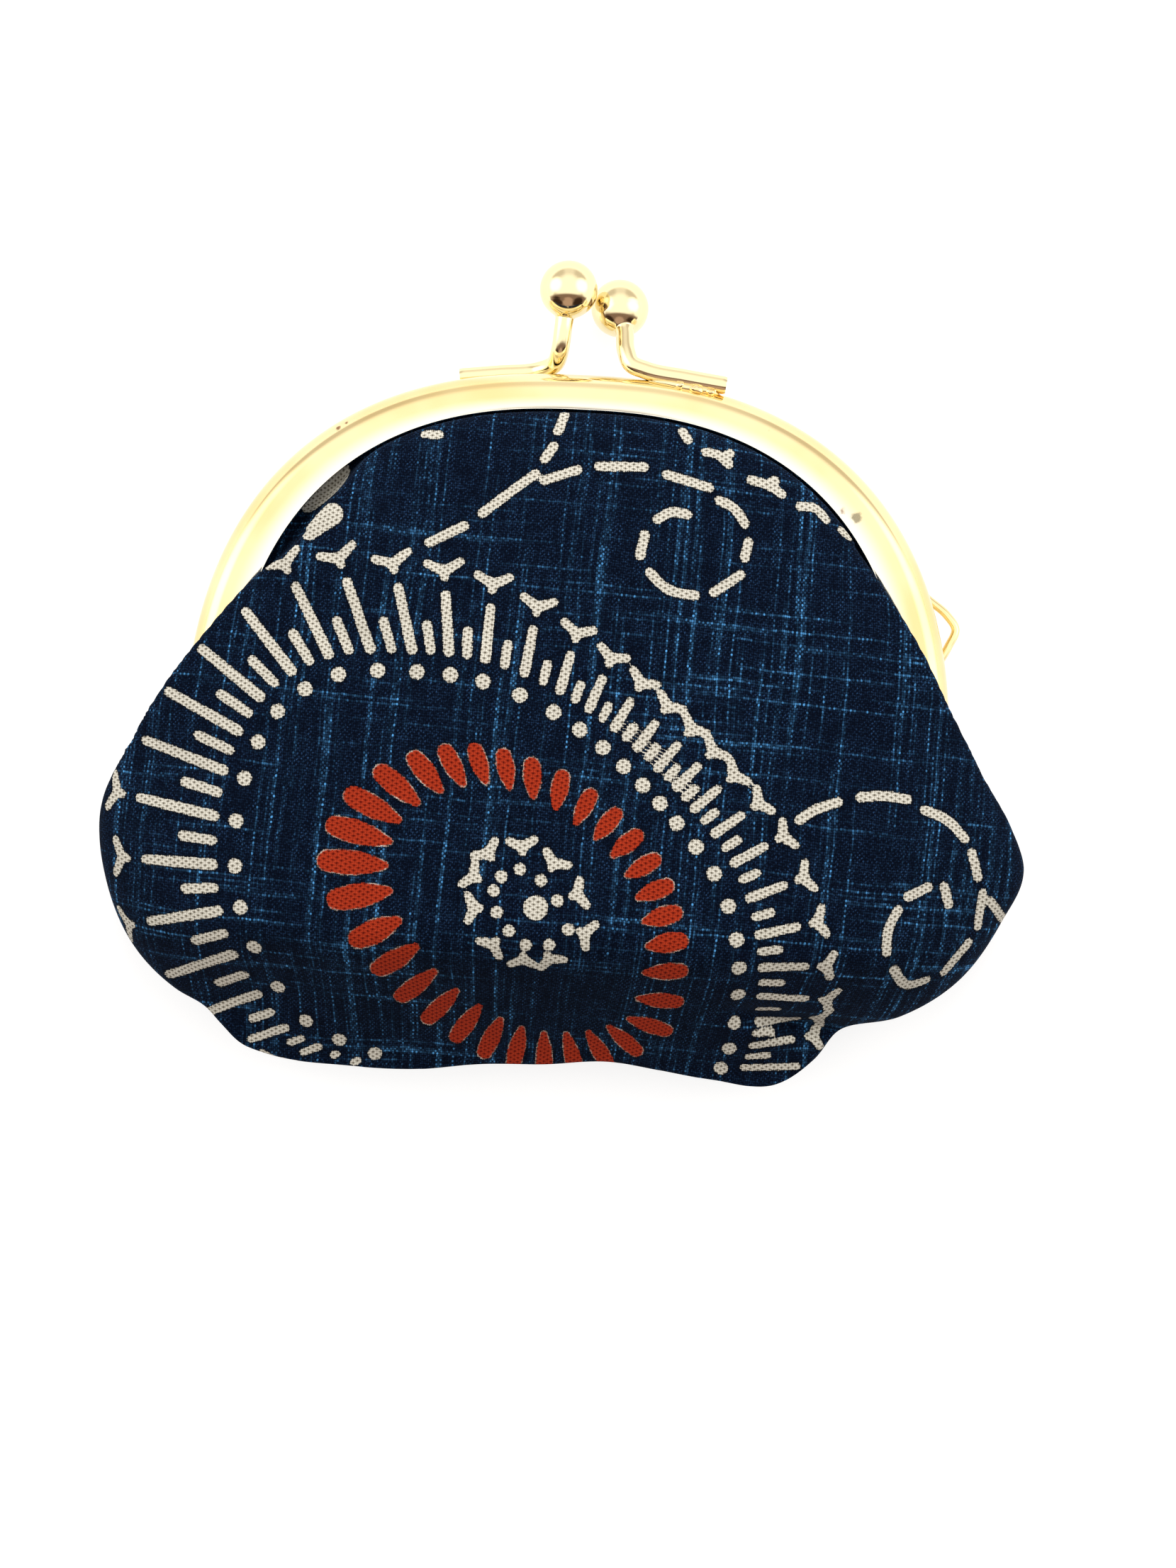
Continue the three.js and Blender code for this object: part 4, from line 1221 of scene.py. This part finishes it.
def indigo_cotton():
    """Plain weave: threads cross in cells, and in every other cell the upright thread lies on top. A cell's
    crown is a product of cosines, longer along the thread on top, between small pores at its corners.
    Painted shade darkens slanting furrows that run from cell to cell and bell-shaped wide pores at every
    fourth upright thread, staggered from row to row, and painted light brightens the crowns. Slubs are pale
    bands of neighbouring threads, dotted where threads dive.
    The print follows the distances stored on the mesh."""
    material, make = new_material("indigo_slub_cotton")
    flat = stored(make, "flat_place", output=1)
    wander = (noise(flat, scale=0.07, detail=3.0) - 0.5) * GRAIN_WANDER
    across = flat.dot((math.cos(GRAIN_TURN), math.sin(GRAIN_TURN), 0.0)) + wander
    along = flat.dot((-math.sin(GRAIN_TURN), math.cos(GRAIN_TURN), 0.0)) - wander
    shiver = (noise(flat, scale=1.1, detail=2.0) - 0.5) * THREAD_SHIVER
    warp = across / WARP_PITCH + shiver
    weft = along / WEFT_PITCH + shiver

    # The relief: which thread lies on top, its crown, and the pores and furrows between threads, where
    # shade is painted
    warp_number = warp.math("FLOOR")
    weft_number = weft.math("FLOOR")
    warp_over = (warp_number + weft_number).math("FLOORED_MODULO", 2.0)
    warp_cos = ((warp - warp_number - 0.5) * math.pi).math("COSINE")
    weft_cos = ((weft - weft_number - 0.5) * math.pi).math("COSINE")
    oval = warp_cos ** (0.7 + warp_over * 0.6) * weft_cos ** (1.3 - warp_over * 0.6)
    slant = ((warp + weft) * 0.5).off_whole()
    furrow_shade = (slant * slant * FURROW_SHADE_STEEPNESS).math("EXPONENT")
    rising = (warp * 0.25 + weft * 0.5).off_whole()
    falling = (warp * 0.25 - weft * 0.5).off_whole()
    pore_across = rising + falling
    pore_along = rising - falling
    steep_across, steep_along = WIDE_PORE_SHADE_STEEPNESS
    bell = pore_across * pore_across * steep_across + pore_along * pore_along * steep_along
    wide_pore_shade = bell.math("EXPONENT")
    small_pore = ((1.0 - warp_cos * warp_cos) * (1.0 - weft_cos * weft_cos)) ** 1.6
    pore_shade = wide_pore_shade.math("MAXIMUM", small_pore * 0.60)
    crown = (1.0 - small_pore * 0.9) * (0.45 + oval * 0.55)

    def thread_noise(number, step, run, stretch, seed):
        """Clouds drawn out along threads: step is their distance across the clouds, stretch along them."""
        number_place = number * step + seed
        place = make.node("ShaderNodeCombineXYZ", inputs={0: number_place, 1: run * stretch, 2: seed})
        return noise(place, scale=1.0, detail=2.0)

    # The indigo ground: every pair of threads has its own tone, and some bands of threads are slubs
    warp_pair = (warp * 0.5).math("FLOOR")
    weft_pair = (weft * 0.5).math("FLOOR")
    warp_tone = thread_noise(warp_pair, TONE_STEP, along, stretch=0.35, seed=3.0)
    weft_tone = thread_noise(weft_pair, TONE_STEP, across, stretch=0.35, seed=17.0)
    warp_slub = thread_noise(warp_number, SLUB_STEP, along, stretch=0.025, seed=31.4).smooth(*WARP_SLUB)
    weft_slub = thread_noise(weft_number, SLUB_STEP, across, stretch=0.040, seed=53.7).smooth(*WEFT_SLUB)
    broken = noise(flat, scale=0.6, detail=3.0).smooth(0.38, 0.66)
    fuzz = noise(flat, scale=4.5, detail=2.0)
    cell = make.node("ShaderNodeCombineXYZ", inputs={0: warp_number, 1: weft_number, 2: 0.0})
    chance = make.node("ShaderNodeTexWhiteNoise", {"noise_dimensions": "2D"}, {"Vector": cell})
    warp_show = warp_slub * (0.25 + warp_over * 0.75)
    weft_show = weft_slub * (1.0 - warp_over * 0.75)
    dotted = 0.12 + chance.smooth(0.25, 0.95) * 0.88
    slub = (warp_show + weft_show) * dotted * (0.45 + broken * 0.55) * crown
    tone = warp_tone * warp_over + weft_tone * (1.0 - warp_over)
    shine = tone.smooth(0.30, 0.75) * 0.60 + fuzz.smooth(0.35, 0.70) * 0.50 + chance * 0.20
    # Painted light on the crowns, painted shade in the furrows and wide pores; cross-thread cells darker
    relief_shading = crown * (1.0 - furrow_shade * 0.30) * (1.0 - wide_pore_shade * 0.85)
    lit = (relief_shading * shine) ** 2.1 * (0.30 + warp_over * 0.70)
    ground = lit.math("MINIMUM", 1.0).mix(INDIGO_DEEP, INDIGO_THREAD)
    ground = slub.math("MINIMUM", 1.0).mix(ground, INDIGO_SLUB)

    # The print: its edge steps from cell to cell, a dark halo lies round it, and the red has a pale rim
    ragged = (chance - 0.5) * 0.09 - (crown - 0.5) * 0.10
    ecru_edge = stored(make, "ecru") + ragged
    red_edge = stored(make, "red") + ragged
    nearest = ecru_edge.math("MINIMUM", red_edge)
    ground = (nearest.smooth(*HALO_EDGE) * 0.75).mix(ground, INDIGO_HALO)
    # The print's yarn: painted shade in the pores, painted light on the crowns
    yarn = ((1.0 - pore_shade) * (0.70 + oval * 0.20 + chance * 0.14 + fuzz * 0.12)).math("MINIMUM", 1.0)
    ecru_yarn = yarn.mix(ECRU_DEEP, ECRU_THREAD)
    colour = ecru_edge.smooth(*PRINT_EDGE).mix(ground, ecru_yarn)
    colour = red_edge.smooth(*PRINT_EDGE).mix(colour, yarn.mix(RED_DEEP, RED_THREAD))
    rim = red_edge.math("ABSOLUTE").smooth(*RED_RIM_EDGE) * broken
    colour = (rim * 0.55).mix(colour, ecru_yarn)
    relief = make.node("ShaderNodeBump", inputs={"Strength": 0.35, "Distance": 0.00010, "Height": crown})
    shader = make.node(
        "ShaderNodeBsdfPrincipled",
        inputs={
            "Base Color": colour,
            "Roughness": 0.9,
            "Specular IOR Level": 0.03,
            "Sheen Weight": 0.02,
            "Sheen Tint": SHEEN_BLUE,
            "Sheen Roughness": 0.5,
            "Normal": relief,
        },
    )
    make.node("ShaderNodeOutputMaterial", inputs={"Surface": shader})
    return material


def make_cloth(name, section, outward, strokes, cotton, replaced):
    """A cloth piece, with its flat place and its distances to the print stored on its points."""
    points, faces, flat = cloth_shell(section, outward)
    piece = make_piece(name, [(points, faces)], cotton, replaced)
    mesh = piece.data
    mesh.attributes.new("flat_place", "FLOAT_VECTOR", "POINT").data.foreach_set("vector", flat.ravel())
    for ink, ink_strokes in strokes.items():
        distance = print_distance(flat, ink_strokes)
        mesh.attributes.new(ink, "FLOAT", "POINT").data.foreach_set("value", distance)
    return piece


cotton = indigo_cotton()
front_cloth = make_cloth(
    "printed_front",
    front_section,
    1,
    {"ecru": ecru_strokes(), "red": red_strokes()},
    cotton,
    ["front_panel"],
)

# Back of the bag: the same cotton, glued into the back channel and sewn to the front. The purse lies on it,
# so that it is flat in its middle and turns up round its edge.
FLAT_MARGIN = 6.5  # from the seam in to where the cloth lies on the table
FLAT_ROWS = 120
LOW_GROOVE = 2 * PARTING_HEIGHT - GROOVE_HEIGHT
BACK_NECK_HEIGHT = 0.9
SEAM_ROLL = 0.4  # from the widest line up to the seam


def back_section(angle):
    """Radius and height from the middle out to the edge: flat on the table, then either a low rise into the
    back channel's groove or a quarter ellipse up to the turned-in seam."""
    reach = bag_side(angle)[0]
    dip = down(0.6, 0.6, 0.9, 1, 1, 1) * hinge_dip(angle)
    glued_radius = into_groove(frame_neck(angle) - down(5.0, 3.4, 1.4, 0, 0, 0) - dip, angle)
    glued_height = down(0, 0.02, 0.3, BACK_NECK_HEIGHT, LOW_GROOVE, LOW_GROOVE) + 0 * angle
    turn = np.radians(down(0, 25, 50, 75, 90))
    sewn_radius = np.concatenate([reach - FLAT_MARGIN * (1 - np.sin(turn)), reach[None] - SEAM_TUCK])
    rolled_height = (SEAM_HEIGHT - SEAM_ROLL) * (1 - np.cos(turn)) + 0 * angle
    sewn_height = np.concatenate([rolled_height, np.full((1, angle.size), SEAM_HEIGHT - SEAM_GAP)])
    rim_radius = rim_curve(sewn_radius, glued_radius, angle)
    rim_height = rim_curve(sewn_height, glued_height, angle)
    share = np.linspace(0, 1, FLAT_ROWS)[:, None]
    radius = np.concatenate([share * rim_radius[0], rim_radius[1:]])
    return radius, np.concatenate([0 * share * angle, rim_height[1:]])


# The print's scrolls again, mirrored and moved (mm), as they fall on the back
BACK_SCROLLS = [
    *[np.array(dash) * (-1, 1) + (2.0, -36.0) for dash in UPPER_SCROLL],
    *[np.array(dash) * (-1, 1) + (28.0, 24.0) for dash in RIGHT_SCROLL],
]
back_strokes = {"ecru": dash_strokes(BACK_SCROLLS, np.array), "red": []}
back_cloth = make_cloth("printed_back", back_section, -1, back_strokes, cotton, ["back_panel"])
